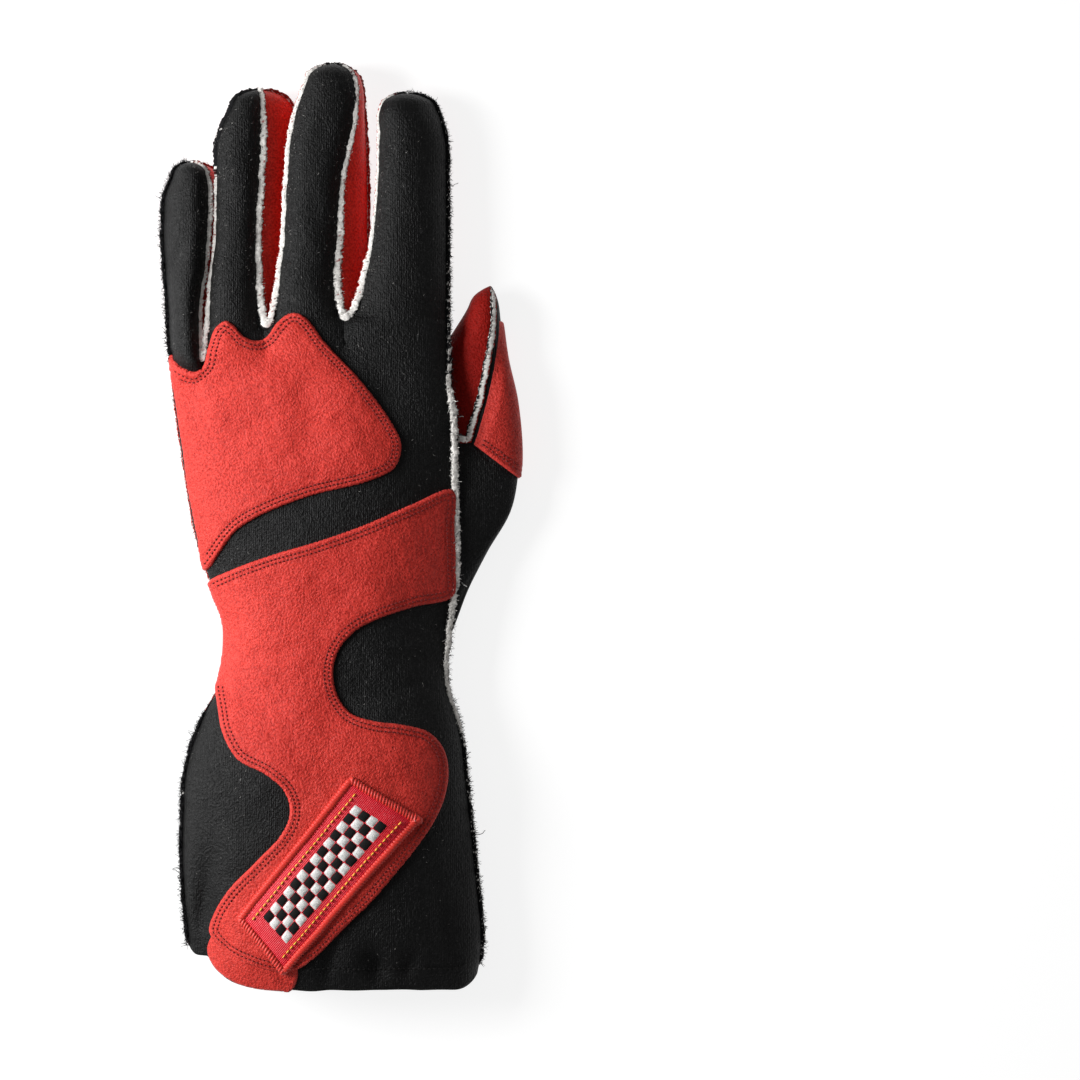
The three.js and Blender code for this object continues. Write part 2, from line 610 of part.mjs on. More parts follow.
// The palm: suede from the wrist to the fingertips, open at the keystone for the thumb.
const palm = new Panel();
palm.grid(palmHand.slice(WRIST, KEYSTONE_END + 1).map((row) => row.slice(0, PALM_COLUMNS + 1)), true);
palm.grid(palmHand.slice(KEYSTONE_END, WEB + 1).map((row) => row.slice(0, PALM_COLUMNS + 1)), true);
palm.grid(palmHand.slice(WEB), true).grid(palmKnuckles, true);
palmFingers.forEach((rows) => palm.grid(rows, true));

const cuffPalm = new Panel().grid(palmHand.slice(0, WRIST + 1), true);

// A fourchette lines the gap between two fingers: down one finger's side and up the next one's.
function fourchette(finger) {
  const wall = (backPoint, palmPoint, outward) => {
    const row = [backPoint];
    for (let c = 1; c < FOURCHETTE_COLUMNS; c += 1) {
      const p = backPoint.clone().lerp(palmPoint, c / FOURCHETTE_COLUMNS);
      const near = Math.min(1, backPoint.distanceTo(palmPoint) / FOURCHETTE_FULL_HEIGHT);
      row.push(point(p.x + outward * FOURCHETTE_BULGE * near, p.y, p.z));
    }
    row.push(palmPoint);
    return row;
  };
  const last = FINGER_COLUMNS.length - 1;
  const down = backFingers[finger].map((row, i) => wall(row[last], palmFingers[finger][i][last], 1));
  const up = backFingers[finger + 1].map((row, i) => wall(row[0], palmFingers[finger + 1][i][0], -1));
  up[0] = down[0];
  return new Panel().grid([...down.reverse(), ...up.slice(1)], true);
}
const fourchettes = [0, 1, 2].map(fourchette);

// A point of a thumb ring, at an angle from its left edge over the top.
function ringPoint(ring, angle) {
  const left = new THREE.Vector3(ring.leftX, ring.leftY, ring.leftZ);
  const right = new THREE.Vector3(ring.rightX, ring.rightY, ring.rightZ);
  const p = left.clone().lerp(right, (1 - Math.cos(radians(angle))) / 2);
  return point(p.x, p.y, p.z + ring.half * Math.sin(radians(angle)));
}

// Rows of the thumb, from a base row to the tip, at angles that run between the two seams.
function thumbRows(base, angles) {
  const rings = THUMB_RINGS.map((ring) => angles(ring).map((angle) => ringPoint(ring, angle)));
  const blended = THUMB_BASE_STEPS.map(({ share, bulge }) => base.map((p, i) => {
    const outwards = Math.max(0, -Math.cos(radians(angles(THUMB_RINGS[0])[i])));
    const q = p.clone().lerp(rings[0][i], share);
    return q.addScaledVector(THUMB_BULGE, outwards * bulge);
  }).map((p) => point(p.x, p.y, p.z)));
  const last = rings[rings.length - 1];
  const caps = THUMB_TIP_ANGLES.map((angle) => {
    const shrink = Math.max(Math.cos(radians(angle)), 0) ** THUMB_TIP_POINT;
    const advance = Math.sin(radians(angle));
    return last.map((p) => point(
      lerp(THUMB_TIP.x, p.x, shrink), lerp(p.y, THUMB_TIP.y, advance), lerp(THUMB_TIP.z, p.z, shrink)));
  });
  caps[caps.length - 1] = last.map(() => THUMB_TIP);
  return [base, ...blended, ...rings, ...caps];
}

// The thumb's back starts along the thumb-side seam and the wrist, its palm along the keystone seam.
// Between the wrist and the keystone's end the thumb's back meets the palm along its last column.
const radialSeam = (row) => backHand[row][COLUMNS];
const backBase = [
  ...columnRange(WRIST, THUMB_SEAM).reverse().map(radialSeam),
  ...columnRange(PALM_COLUMNS, COLUMNS - 1).reverse().map((c) => palmHand[WRIST][c]),
];
const backAngles = (ring) => backBase.map((_, i) => lerp(ring.upper, ring.lower, i / (backBase.length - 1)));
const thumbBackRows = thumbRows(backBase, backAngles);
const WRIST_STEPS = KEYSTONE_END - WRIST;
for (let i = 1; i <= WRIST_STEPS; i += 1) {
  thumbBackRows[i][backBase.length - 1] = palmHand[WRIST + i][PALM_COLUMNS];
}

const palmBase = [
  ...columnRange(KEYSTONE_END, WEB - 1).map((row) => palmHand[row][PALM_COLUMNS]),
  ...columnRange(PALM_COLUMNS, COLUMNS).map((c) => palmHand[WEB][c]),
  radialSeam(THUMB_SEAM),
  ...columnRange(1, WRIST_STEPS).map((i) => thumbBackRows[i][0]),
];
const cornerColumn = WEB - KEYSTONE_END;
const jointColumn = cornerColumn + COLUMNS - PALM_COLUMNS;
function palmAngles(ring) {
  return palmBase.map((_, i) => {
    if (i <= cornerColumn) return lerp(ring.lower, WEB_ANGLES.corner, i / cornerColumn);
    const upper = ring.upper + 360;
    const joint = Math.min(WEB_ANGLES.joint, upper - WEB_ANGLES.clearance);
    if (i <= jointColumn) {
      return lerp(WEB_ANGLES.corner, joint, (i - cornerColumn) / (jointColumn - cornerColumn));
    }
    return lerp(joint, upper, (i - jointColumn) / (palmBase.length - 1 - jointColumn));
  });
}
const thumbPalmRows = thumbRows(palmBase, palmAngles);
thumbPalmRows.splice(1, WRIST_STEPS);
thumbPalmRows.forEach((row, i) => {
  if (i === 0) return;
  row[0] = thumbBackRows[i + WRIST_STEPS][backBase.length - 1];
  row[row.length - 1] = thumbBackRows[i + WRIST_STEPS][0];
});
const thumbBack = new Panel().grid(thumbBackRows);
const thumbPalm = new Panel().grid(thumbPalmRows);

// The suede laid over the thumb's back covers a part of that panel's grid.
const thumbOverlay = new Panel().grid(
  thumbBackRows.slice(THUMB_OVERLAY_ROWS.from, THUMB_OVERLAY_ROWS.to + 1)
    .map((row) => row.slice(THUMB_OVERLAY_COLUMNS.from, THUMB_OVERLAY_COLUMNS.to + 1)),
);

shareNormals([back, palm, cuffPalm, thumbBack, thumbPalm, ...fourchettes]);

// Seam lines, as lists of the points that the panels share. The trims keep the ends of a raw edge
// clear of the crotch below it and of the other edges that meet at a fingertip.
const CROTCH_TRIM = 1;
const TIP_TRIM = -2;
const PALM_TIP_TRIM = -3;
const THUMB_EDGE_ROW = 3;
const LAST_COLUMN = FINGER_COLUMNS.length - 1;
const edgeColumn = (rows, column) => rows.map((row) => row[column]);
const rightEdgeDown = (finger) => edgeColumn(backFingers[finger], LAST_COLUMN).reverse();
const leftEdgeUp = (finger) => edgeColumn(backFingers[finger], 0).slice(CROTCH_TRIM, TIP_TRIM);
const SEAM_PATHS = {
  seam_edge_ulnar: [
    ...edgeColumn(backHand, 0),
    backKnuckles[1][0],
    ...edgeColumn(backFingers[0], 0),
  ],
  seam_edge_ring_middle: [...rightEdgeDown(1), ...leftEdgeUp(2)],
  seam_edge_middle_index: [...rightEdgeDown(2), ...leftEdgeUp(3)],
  seam_edge_radial: [
    ...rightEdgeDown(3),
    backKnuckles[1][COLUMNS],
    ...edgeColumn(backHand, COLUMNS).reverse(),
  ],
  palm_seam_edge_ring: edgeColumn(palmFingers[1], 0).slice(CROTCH_TRIM, PALM_TIP_TRIM),
  palm_seam_edge_middle: edgeColumn(palmFingers[2], 0).slice(CROTCH_TRIM, PALM_TIP_TRIM),
  palm_seam_edge_index: edgeColumn(palmFingers[3], 0).slice(CROTCH_TRIM, PALM_TIP_TRIM),
  thumb_seam_edge: edgeColumn(thumbBackRows, 0).slice(THUMB_EDGE_ROW),
  keystone_seam_edge: palmBase.slice(1, cornerColumn),
};

const UPRIGHT_SEAMS = { seam_edge_ring_middle: 0.4, seam_edge_middle_index: 0.3 };

const group = new THREE.Group();
function addPiece(name, geometry, colour) {
  const material = new THREE.MeshStandardMaterial({ metalness: 0, ...colour });
  const mesh = new THREE.Mesh(geometry, material);
  mesh.name = name;
  group.add(mesh);
}
const addPanel = (name, panel, colour, cut = SEAM_CUT) =>
  addPiece(name, wallGeometry(panel, -WALL / 2, WALL / 2, cut), colour);

addPanel('back_panel', handBack, COLOURS.knit);
addPanel('cuff_back', cuffBack, COLOURS.knit);
addPanel('palm_panel', palm, COLOURS.redSuede);
addPanel('cuff_palm', cuffPalm, COLOURS.knit);
addPanel('thumb_back', thumbBack, COLOURS.knit, FOLD_CUT);
addPanel('thumb_palm', thumbPalm, COLOURS.redSuede, FOLD_CUT);
['little_ring', 'ring_middle', 'middle_index'].forEach((pair, i) => {
  addPanel(`fourchette_${pair}`, fourchettes[i], COLOURS.redSuede, FOLD_CUT);
});
addPiece('upper_overlay', overlayGeometry(back, UPPER_OVERLAY), COLOURS.redSuede);
addPiece('lower_overlay', overlayGeometry(back, LOWER_OVERLAY), COLOURS.redSuede);
addPiece('palm_overlay', overlayGeometry(palm, PALM_OVERLAY), COLOURS.blackSuede);
addPiece('thumb_overlay',
  wallGeometry(thumbOverlay, OVERLAY_BASE, OVERLAY_BASE + OVERLAY, OVERLAY_CUT), COLOURS.redSuede);
addPiece('patch',
  overlayGeometry(back, BADGE_CORNERS, { floor: OVERLAY + GAP, smooth: false }), COLOURS.satin);
for (const [name, path] of Object.entries(SEAM_PATHS)) {
  addPiece(name, seamEdgeGeometry(path, UPRIGHT_SEAMS[name]), COLOURS.rawEdge);
}

export default group;
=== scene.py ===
"""Looks of the racing glove: knit, suede, raw seams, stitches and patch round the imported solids.

The glove lies palm down. Lengths are millimetres in the part's frame until a mesh is made.
X runs from the little finger to the thumb, Y from the hem to the fingertips, Z up.
"""
import logging
import math
from dataclasses import dataclass, field
from enum import Enum

import bpy
import numpy as np
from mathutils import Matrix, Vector
from mathutils.bvhtree import BVHTree


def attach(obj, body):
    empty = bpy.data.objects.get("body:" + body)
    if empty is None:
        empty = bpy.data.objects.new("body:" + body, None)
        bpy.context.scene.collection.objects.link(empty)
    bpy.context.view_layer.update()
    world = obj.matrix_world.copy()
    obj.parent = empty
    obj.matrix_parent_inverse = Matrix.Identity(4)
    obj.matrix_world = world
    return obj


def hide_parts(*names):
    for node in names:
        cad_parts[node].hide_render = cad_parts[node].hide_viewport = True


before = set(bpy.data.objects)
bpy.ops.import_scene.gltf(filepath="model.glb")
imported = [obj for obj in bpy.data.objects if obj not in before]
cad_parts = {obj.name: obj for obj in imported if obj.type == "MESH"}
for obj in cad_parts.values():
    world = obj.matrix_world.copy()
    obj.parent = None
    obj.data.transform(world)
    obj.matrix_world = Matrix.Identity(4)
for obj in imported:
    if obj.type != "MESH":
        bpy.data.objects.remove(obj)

LOG = logging.getLogger("racing_glove")
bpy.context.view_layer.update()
MM = 0.001
ROOT = "root"

# Thickness of the walls and overlays, and the lowest middle surface of each.
WALL = 1.6
OVERLAY_LIFT = 0.42
OVERLAY = 1.2
REST_Z = WALL / 2
PALM_REST_Z = WALL / 2 + OVERLAY_LIFT + OVERLAY
# Lowest points of panels, overlays, threads' middles, threads and raw edges over the floor.
PANEL_FLOOR, LAYER_FLOOR, MIDDLE_FLOOR, THREAD_FLOOR, SEAM_FLOOR = 0.09, 0.02, 0.05, 0.03, 0.012

# Suede layers: width of the rolled edge and of its rim, paler cut suede with a painted
# highlight, the stitch rows' distances from the edge and the width of their grooves, and width
# and depth share of the quilted ones.
EDGE_ROLL, RIM_WIDTH = 1.1, 0.55
STITCH_ROWS, GROOVE_WIDTH = (1.8, 3.3), 0.36
QUILT_WIDTH, QUILT_DEPTH = 0.55, 1.6

# Sections across the hand, hem first: edges, heights and how even and soft each is.
SECTION_NAMES = (
    "y", "ulnar_x", "radial_x", "ulnar_z", "radial_z", "crown", "floor", "web", "even", "soft")
SECTION_ROWS = np.array([
    (-166.4, -54.0, 48.9, 10.5, 10.5, 24.0, 0.2, 0, 1, 0),
    (-157.0, -54.5, 49.9, 11.5, 11.5, 27.5, 0.2, 0, 1, 0),
    (-146.0, -55.3, 49.7, 12.0, 12.0, 29.5, 0.2, 0, 1, 0),
    (-132.0, -56.0, 48.4, 12.5, 12.5, 31.0, 0.2, 0, 1, 0),
    (-118.0, -56.4, 47.2, 13.0, 13.0, 31.5, 0.2, 0, 1, 0),
    (-104.0, -56.1, 45.7, 13.0, 13.0, 31.5, 0.2, 0, 1, 0),
    (-91.0, -55.4, 44.2, 13.0, 13.0, 31.0, 0.2, 0, 1, 0),
    (-79.0, -52.6, 42.9, 13.0, 13.0, 30.0, 0.2, 0, 1, 0),
    (-68.0, -48.2, 40.4, 13.0, 13.0, 28.5, 1.2, 0, 1, 0),
    (-59.0, -43.6, 37.7, 13.0, 13.0, 27.3, 2.0, 0, 1, 0),
    (-50.0, -41.3, 37.0, 13.0, 13.0, 26.5, 3.2, 0, 1, 0.4),
    (-41.5, -40.7, 38.0, 12.8, 13.0, 26.0, 4.6, 0, 0.95, 0.8),
    (-35.0, -41.1, 38.6, 12.5, 13.2, 26.0, 4.6, 0, 0.9, 1),
    (-28.0, -43.5, 39.8, 12.2, 13.6, 26.2, 3.6, 0, 0.8, 1),
    (-16.0, -47.7, 41.3, 11.8, 14.3, 26.5, 2.6, 0, 0.7, 1),
    (-4.0, -51.5, 41.2, 11.4, 15.2, 26.8, 1.8, 0, 0.55, 1),
    (8.0, -53.8, 40.9, 11.2, 16.0, 27.0, 1.8, 0, 0.4, 1),
    (20.0, -55.7, 40.6, 11.0, 17.0, 27.0, 1.8, 0, 0.3, 1),
    (31.0, -57.4, 40.4, 10.8, 17.8, 26.8, 1.8, 0, 0.2, 1),
    (40.0, -58.7, 40.0, 10.5, 18.2, 26.4, 1.8, 5, 0.1, 0.8),
    (50.0, -59.9, 38.2, 10.0, 17.6, 25.6, 1.8, 5, 0, 0.4),
])
SECTION = {name: SECTION_ROWS[:, i] for i, name in enumerate(SECTION_NAMES)}
# Numbers of the sections where parts of the glove begin or end.
WRIST, KEYSTONE_END, THUMB_SEAM, WEB, LAST = 11, 13, 18, 19, 20

# Shares of the width at which one finger's strip ends and the next begins.
FINGERS = 4
EVEN_SHARE = (0, 0.2, 0.5, 0.8, 1)
BACK_SHARE = (0, 0.118, 0.35, 0.63, 1)
PALM_SHARE = (0, 0.262, 0.525, 0.785, 1)
CUFF_SPLIT = 0.75
SPLIT_ROWS = 4
# Points between the fingers and at the hand's two edges.
CROTCHES = {
    "back": np.array([(-60.8, 64.0, 9.6), (-50.0, 58.7, 16.5), (-26.6, 71.3, 16.5),
                      (1.8, 74.2, 16.5), (37.7, 73.0, 14.5)]),
    "palm": np.array([(-60.8, 64.0, 9.6), (-36.7, 71.3, 5.4), (-11.9, 82.4, 5.4),
                      (12.6, 82.4, 5.4), (37.7, 73.0, 14.5)]),
}
# Each finger: its tip in plan, then rows of y and of the edges of the back and the palm strip.
FINGER_OUTLINES = (
    ((-54.4, 129.8), ((78, -61.6, -51.0, -61.6, -40.0), (92, -62.7, -49.0, -62.7, -41.5),
                      (108, -63.4, -47.6, -63.4, -42.2), (119, -62.6, -47.4, -62.6, -43.4),
                      (125, -60.2, -48.2, -60.2, -45.6))),
    ((-29.4, 155.8), ((86, -46.8, -29.4, -34.0, -15.5), (101, -45.0, -30.0, -33.0, -16.0),
                      (121, -44.5, -29.0, -33.0, -16.0), (142, -43.0, -28.0, -33.0, -16.4),
                      (149.5, -39.2, -28.4, -32.0, -18.0))),
    ((-2.6, 165.2), ((87, -22.5, -1.5, -12.0, 9.5), (103, -20.5, -0.5, -12.5, 8.8),
                     (124, -19.5, 0.5, -12.6, 8.6), (147, -16.6, 5.0, -12.2, 7.4),
                     (158.5, -12.6, 5.2, -9.5, 6.2))),
    ((23.2, 154.6), ((87, 8.0, 37.6, 15.5, 37.6), (103, 11.5, 37.6, 17.5, 37.6),
                     (124, 13.5, 37.5, 19.5, 37.5), (141, 14.0, 36.6, 20.0, 36.6),
                     (149, 14.2, 34.0, 18.6, 34.0))),
)
# Heights of a finger's middle surface at its base and its end.
HEIGHT_NAMES = ("outer_left", "outer_right", "back", "palm", "crown", "floor")
FINGER_BASE = dict(zip(HEIGHT_NAMES, (9.8, 13.5, 15.6, 5.4, 22.0, 1.8)))
FINGER_END = dict(zip(HEIGHT_NAMES, (9.0, 9.0, 13.6, 4.6, 18.6, 0.8)))
TIP_Z = 8
TIP_ANGLES = (30, 56, 77, 90)
TIP_FULLNESS = 0.7
CROTCH_ROWS = (0.012, 0.06, 0.14, 0.27, 0.5)
# X and Z of the palm's edge beside the thumb insert, at each section from the wrist.
KEYSTONE = np.array([(10.5, 4.6), (12.3, 4.2), (14.0, 3.6), (9.2, 3.0), (4.0, 3.0),
                     (-0.3, 3.0), (-1.3, 3.0), (1.0, 3.2), (18.7, 6.0)])

# Rings round the thumb: left edge, right edge, half thickness and the angles of its two seams.
THUMB_RINGS = (
    ((24.5, 45.5, 4.2), (63.0, 19.0, 9.0), 7.6, 96, 281),
    ((32.8, 55.0, 4.6), (61.8, 43.5, 9.0), 7.0, 103, 276),
    ((39.8, 67.5, 5.4), (58.0, 61.3, 8.5), 6.4, 118, 277),
    ((46.0, 77.5, 6.6), (56.6, 74.0, 8.2), 5.8, 128, 284),
)
THUMB_TIP = np.array((53.6, 85.4, 7.4))
THUMB_TIP_ANGLES = (35, 62, 90)
THUMB_TIP_POINT = 1.8
THUMB_BASE_STEPS = ((0.12, 0.2), (0.25, 0.3), (0.5, 1.8), (0.75, 3.0))
THUMB_BULGE = np.array((1.0, -0.75, 0.0))
# New rows between the thumb's control rows, and angles that its palm side turns through.
THUMB_STEPS = (3, 4, 7, 7, 7, 9, 11, 9, 6, 6, 6)
WEB_CORNER, WEB_JOINT, WEB_CLEARANCE = 355, 440, 12
PALM_BASE_STEPS = 5
# Lobes of its overlay: degrees past the middle, place and reach along it.
THUMB_LOBES = ((48, 0.14, 0.17), (52, 0.74, 0.19))
# Distance of that overlay from the thumb's seam.
THUMB_MARGIN = 2.7

# Soft hollows and folds: centre, half sizes, turn in degrees and depth, a ridge where negative.
BACK_FOLDS = (
    (-47, -133, 8, 30, 0, 3.0), (43, -120, 9, 26, 0, 3.0), (10, -60, 34, 12, 0, 1.6),
    (-12, 42, 8, 16, 0, 1.2), (16, 44, 9, 18, 0, 1.4),
    (-49, -136, 3.4, 20, -8, 2.6), (-54, -130, 2.4, 16, -4, -0.9), (-40, -148, 3, 13, 14, 1.2),
    (13, -157, 5, 7, 20, 3.2), (24, -158, 4, 7, -28, 1.8), (36, -140, 4, 24, 10, 1.2),
    (-4, -158, 4, 8, -16, 1.6), (44, -100, 3, 20, 4, 1.2),
    (22, -100, 4, 18, 24, 0.5), (27, -58, 16, 3.4, 12, 0.8), (24, -47, 14, 3, -10, 0.7),
    (-30, -64, 14, 4, -22, 0.7), (-22, -46, 16, 3.4, 6, 0.6), (30, -22, 12, 3.4, 16, 0.5),
    (-58, 96, 3, 8, -20, 1.1), (-52, 104, 2.4, 7, -16, -0.5), (-40, 118, 4, 9, 12, 0.6),
    (-38, 96, 4, 8, -10, 0.5), (-8, 112, 4, 10, 14, 0.5), (-6, 140, 4, 8, -12, 0.5),
    (24, 108, 6, 12, 10, 0.5), (28, 136, 6, 8, -14, 0.4), (12, 84, 5, 12, 16, 0.5),
)
PALM_FOLDS = (
    (-20, 52, 36, 6, 0, 2.2), (-22, 4, 12, 26, 0, 1.4), (-10, -60, 26, 8, 0, 1.6),
    (-6, -120, 7, 30, 8, 2.4), (18, -112, 5, 24, -14, 1.8), (-34, -96, 5, 26, 6, 1.2),
    (2, -148, 6, 14, -12, 2.2), (30, -140, 5, 20, -8, 1.4), (-24, -72, 4, 16, 10, 1.2),
    (10, -76, 4, 18, -12, 1.4),
)

# Colours stored with the vertices of the raw edges.
BLACK = (0.010, 0.010, 0.011, 1)
WHITE = (0.9, 0.87, 0.83, 1)
RED = (0.33, 0.02, 0.014, 1)

# Along each long seam: Y, share of white, size and upward turn.
ULNAR_SEAM = (
    (-168, 0.05, 0.95, 0.2), (-72, 0.05, 0.95, 0.2), (-62, 0.0, 0.22, 0.0), (54, 0.0, 0.22, 0.0),
    (62, 0.05, 0.95, 0.2), (170, 0.05, 0.95, 0.2),
)
RADIAL_SEAM = (
    (-168, 0.2, 0.95, 0.2), (-76, 0.25, 0.95, 0.2), (-66, 0.9, 1.0, 1.0), (-30, 0.95, 1.2, 2.0),
    (-24, 0.95, 1.25, 3.0), (44, 0.95, 1.4, 3.0), (54, 0.5, 1.0, 1.2), (66, 0.25, 0.9, 0.25),
    (130, 0.12, 0.9, 0.2), (170, 0.05, 0.9, 0.2),
)
# The same seams from below: Y, white and size.
ULNAR_UNDER = ((-168, 0.06, 0.8), (-66, 0.06, 0.8), (-56, 0.85, 0.8), (170, 0.9, 0.8))
RADIAL_UNDER = (
    (-168, 0.97, 1.1), (-56, 0.97, 1.1), (-46, 0.9, 0.6), (-38, 0.0, 0.15), (54, 0.0, 0.15),
    (62, 0.9, 0.8), (170, 0.9, 0.8),
)
# The long seams: name, the grids' edge, both tables and what sets their fray apart.
LONG_SEAMS = (
    ("ulnar", 0, ULNAR_SEAM, ULNAR_UNDER,
     {"band": (0.2, 0.9), "dark_fibres": 0.9, "fibre_length": 1.7, "rough": 1.5}),
    ("radial", -1, RADIAL_SEAM, RADIAL_UNDER,
     {"band": (0.06, 0.96), "dark_fibres": 0.42, "fibre_length": 1.2, "rough": 0.8}),
)
GAPS = ("little_ring", "ring_middle", "middle_index")
# Quilted arcs across the palm's grip.
GRIP_QUILT = (
    ((30, 58.4), (12, 56.6), (-8, 55.2), (-26, 53.4), (-34.5, 51.6), (-42, 47.4), (-45.8, 41),
     (-46.8, 30), (-46.5, 20), (-43, 4), (-36.8, -8.6), (-28.5, -18.3), (-19.6, -24.4)),
    ((-30.6, 52.6), (-26.6, 46), (-22.6, 34), (-20, 20), (-19.6, 10), (-21, 0), (-25, -11.3),
     (-30, -18.6), (-34.4, -23.4)),
)
# For each gap, both fingers: share from crotch to tip, white and size.
GAP_SEAMS = (
    (((0, 1, 0.9), (0.5, 1, 0.8), (0.8, 1, 0.9), (0.93, 0.8, 0.8), (1, 0.1, 0.7)),
     ((0, 1, 0.8), (0.3, 0.75, 0.6), (0.6, 0.6, 0.55), (0.7, 0.15, 0.7), (1, 0.08, 0.85))),
    (((0, 1, 1.0), (0.15, 1, 1.05), (0.9, 1, 0.95), (0.97, 1, 0.8), (1, 0.6, 0.7)),
     ((0, 1, 0.9), (0.2, 0.95, 0.75), (0.85, 0.95, 0.62), (0.94, 0.5, 0.7), (1, 0.1, 0.85))),
    (((0, 1, 1.0), (0.2, 1, 1.05), (0.5, 1, 0.8), (0.86, 0.95, 0.6), (0.93, 0.4, 0.7),
      (1, 0.1, 0.85)),
     ((0, 1, 0.9), (0.2, 0.95, 0.85), (0.4, 0.9, 0.5), (0.9, 0.85, 0.5), (0.96, 0.3, 0.8),
      (1, 0.1, 0.85))),
)

# Outlines in plan, each point with 1 where the edge after it is free.
UPPER_OVERLAY = (
    (-61.6, 61.6, 1), (-59.2, 58.4, 1), (-55.3, 55.8, 1), (-52, 54.9, 1), (-48.9, 57.2, 1),
    (-46.8, 64, 1), (-44.5, 70.6, 1), (-41, 73.2, 1), (-38, 71.4, 1), (-34.6, 67.5, 1),
    (-30.2, 65.9, 1), (-26.4, 67.2, 1), (-22.4, 72.2, 1), (-18.4, 75.6, 1), (-14.4, 75.6, 1),
    (-10.6, 72.4, 1), (-5.8, 65.7, 1), (6.8, 52.2, 1), (18.2, 37, 1), (21.8, 29, 1),
    (19.6, 20.6, 1), (10, 15.6, 1), (-13, 9.6, 1), (-36, -1.2, 1), (-48.8, -16.4, 0),
    (-50.9, -5, 0), (-53.4, 7, 0), (-55.4, 20, 0), (-57.3, 33, 0), (-59.3, 46, 0),
    (-61.2, 57.4, 0),
)
LOWER_OVERLAY = (
    (40.2, 12.6, 1), (25.8, 7.4, 1), (9.4, 0.2, 1), (-6.9, -5.6, 1), (-25.5, -11.2, 1),
    (-39.6, -16.4, 1), (-47.2, -20.6, 0), (-46.2, -25, 0), (-42.8, -33, 0), (-41.6, -41.5, 0),
    (-42.6, -50, 0), (-44.6, -57, 1), (-43.6, -66, 1), (-41.8, -74.6, 1), (-36.5, -83.8, 1),
    (-26, -89.4, 1), (-19.4, -95.6, 1), (-17.6, -103, 1), (-20.6, -110.4, 1), (-30, -120.6, 1),
    (-39.6, -130.6, 1), (-45, -139.6, 1), (-46.6, -145.4, 1), (-44.8, -149, 1), (-38, -154.3, 1),
    (-30, -157.7, 1), (-21.6, -159.6, 1), (-15.2, -158.8, 1), (-8, -153.8, 1), (1.4, -144.2, 1),
    (10.4, -135.6, 1), (19.4, -125.2, 1), (27, -115.8, 1), (33.4, -106.2, 1), (37.2, -97, 1),
    (38.4, -88, 1), (36.6, -80, 1), (31.4, -74.2, 1), (22, -71.5, 1), (12, -70.2, 1),
    (4, -67.4, 1), (-0.6, -61.4, 1), (-2.4, -52.6, 1), (-0.2, -44.6, 1), (4.8, -38.6, 1),
    (13, -33.8, 1), (26, -29.4, 1), (40.2, -25.4, 1), (41, -14, 1), (40.8, 0, 1),
)
PALM_OVERLAY = (
    (-58.6, 62, 1), (-57.4, 43, 1), (-53.5, 18, 1), (-48, -4, 1), (-43.5, -21, 1), (-36, -27.5, 1),
    (-24, -28, 1), (-11.5, -22, 1), (-4.7, -9.5, 1), (-3, 10, 1), (-2.4, 27, 1), (4, 39, 1),
    (17.5, 44.5, 1), (34, 48, 1), (35.5, 60, 1), (36, 84, 1), (28.5, 92.3, 1), (18, 82, 1),
    (11, 77.5, 1), (5.5, 84.5, 1), (-0.5, 90.5, 1), (-7, 84, 1), (-12.2, 75, 1), (-18, 81.5, 1),
    (-24, 87.5, 1), (-30, 81, 1), (-36.5, 63, 1), (-43, 71, 1), (-51, 80, 1), (-57, 75.5, 1),
)
HEM_FOLD = (
    (-47.6, -151.6, 1), (-46.3, -156.7, 1), (-42.1, -161.3, 1), (-35.7, -164.8, 1),
    (-28.4, -166.3, 1), (-21.6, -166.8, 1), (-18, -167.1, 1), (-16.1, -165.0, 1), (-15, -160.6, 1),
    (-16, -157, 0), (-24, -157, 0), (-32, -154.6, 0), (-39.6, -150.4, 0), (-44.6, -146.4, 0),
)


def lerp(a: np.ndarray, b: np.ndarray, share: np.ndarray) -> np.ndarray:
    """Mix of a and b, b's part being share."""
    return a + (b - a) * share


def smoothstep(low: float, high: float, x: np.ndarray) -> np.ndarray:
    """Smooth rise of x from 0 at low to 1 at high."""
    t = np.clip((np.asarray(x, float) - low) / (high - low), 0, 1)
    return t * t * (3 - 2 * t)


def rounded(share: np.ndarray, flat: float, full: float) -> np.ndarray:
    """Height share of a rounded section: 0 at both seams, 1 in the middle."""
    return (1 - np.minimum(np.abs(2 * np.asarray(share, float) - 1), 1) ** flat) ** full


def crown_share(share: np.ndarray, soft: float = 0) -> np.ndarray:
    """Height share of the back, with a softer slope to the thumb-side seam where soft is 1."""
    full, slope = rounded(share, 2.6, 0.62), rounded(share, 2.2, 1)
    return np.where(share > 0.5, lerp(full, slope, soft), full)


def floor_share(share: np.ndarray) -> np.ndarray:
    """Depth share of the palm's flat floor."""
    return rounded(share, 3.2, 0.7)


def finger_share(share: np.ndarray) -> np.ndarray:
    """Height share across a finger."""
    return rounded(share, 2.3, 0.8)


def unit(v: np.ndarray) -> np.ndarray:
    """Vectors of length one along the last axis."""
    return v / np.maximum(np.linalg.norm(v, axis=-1, keepdims=True), 1e-9)


def wobble(t: np.ndarray, seed: int, wavelength: float, octaves: int = 4) -> np.ndarray:
    """Smooth noise along a line, about -1 to 1.

    Args:
        t: places along the line, in millimetres.
        seed: which noise it is.
        wavelength: length of its longest wave.
        octaves: number of finer waves, each half as long.

    Returns:
        One value for each place.
    """
    rng = np.random.default_rng(seed)
    total = np.zeros_like(np.asarray(t, float))
    for k in range(octaves):
        for _ in range(2):
            length = wavelength / 2 ** k * rng.uniform(0.7, 1.3)
            total += np.sin(2 * math.pi * (t / length + rng.random())) / 1.6 ** k
    return total / 3.2


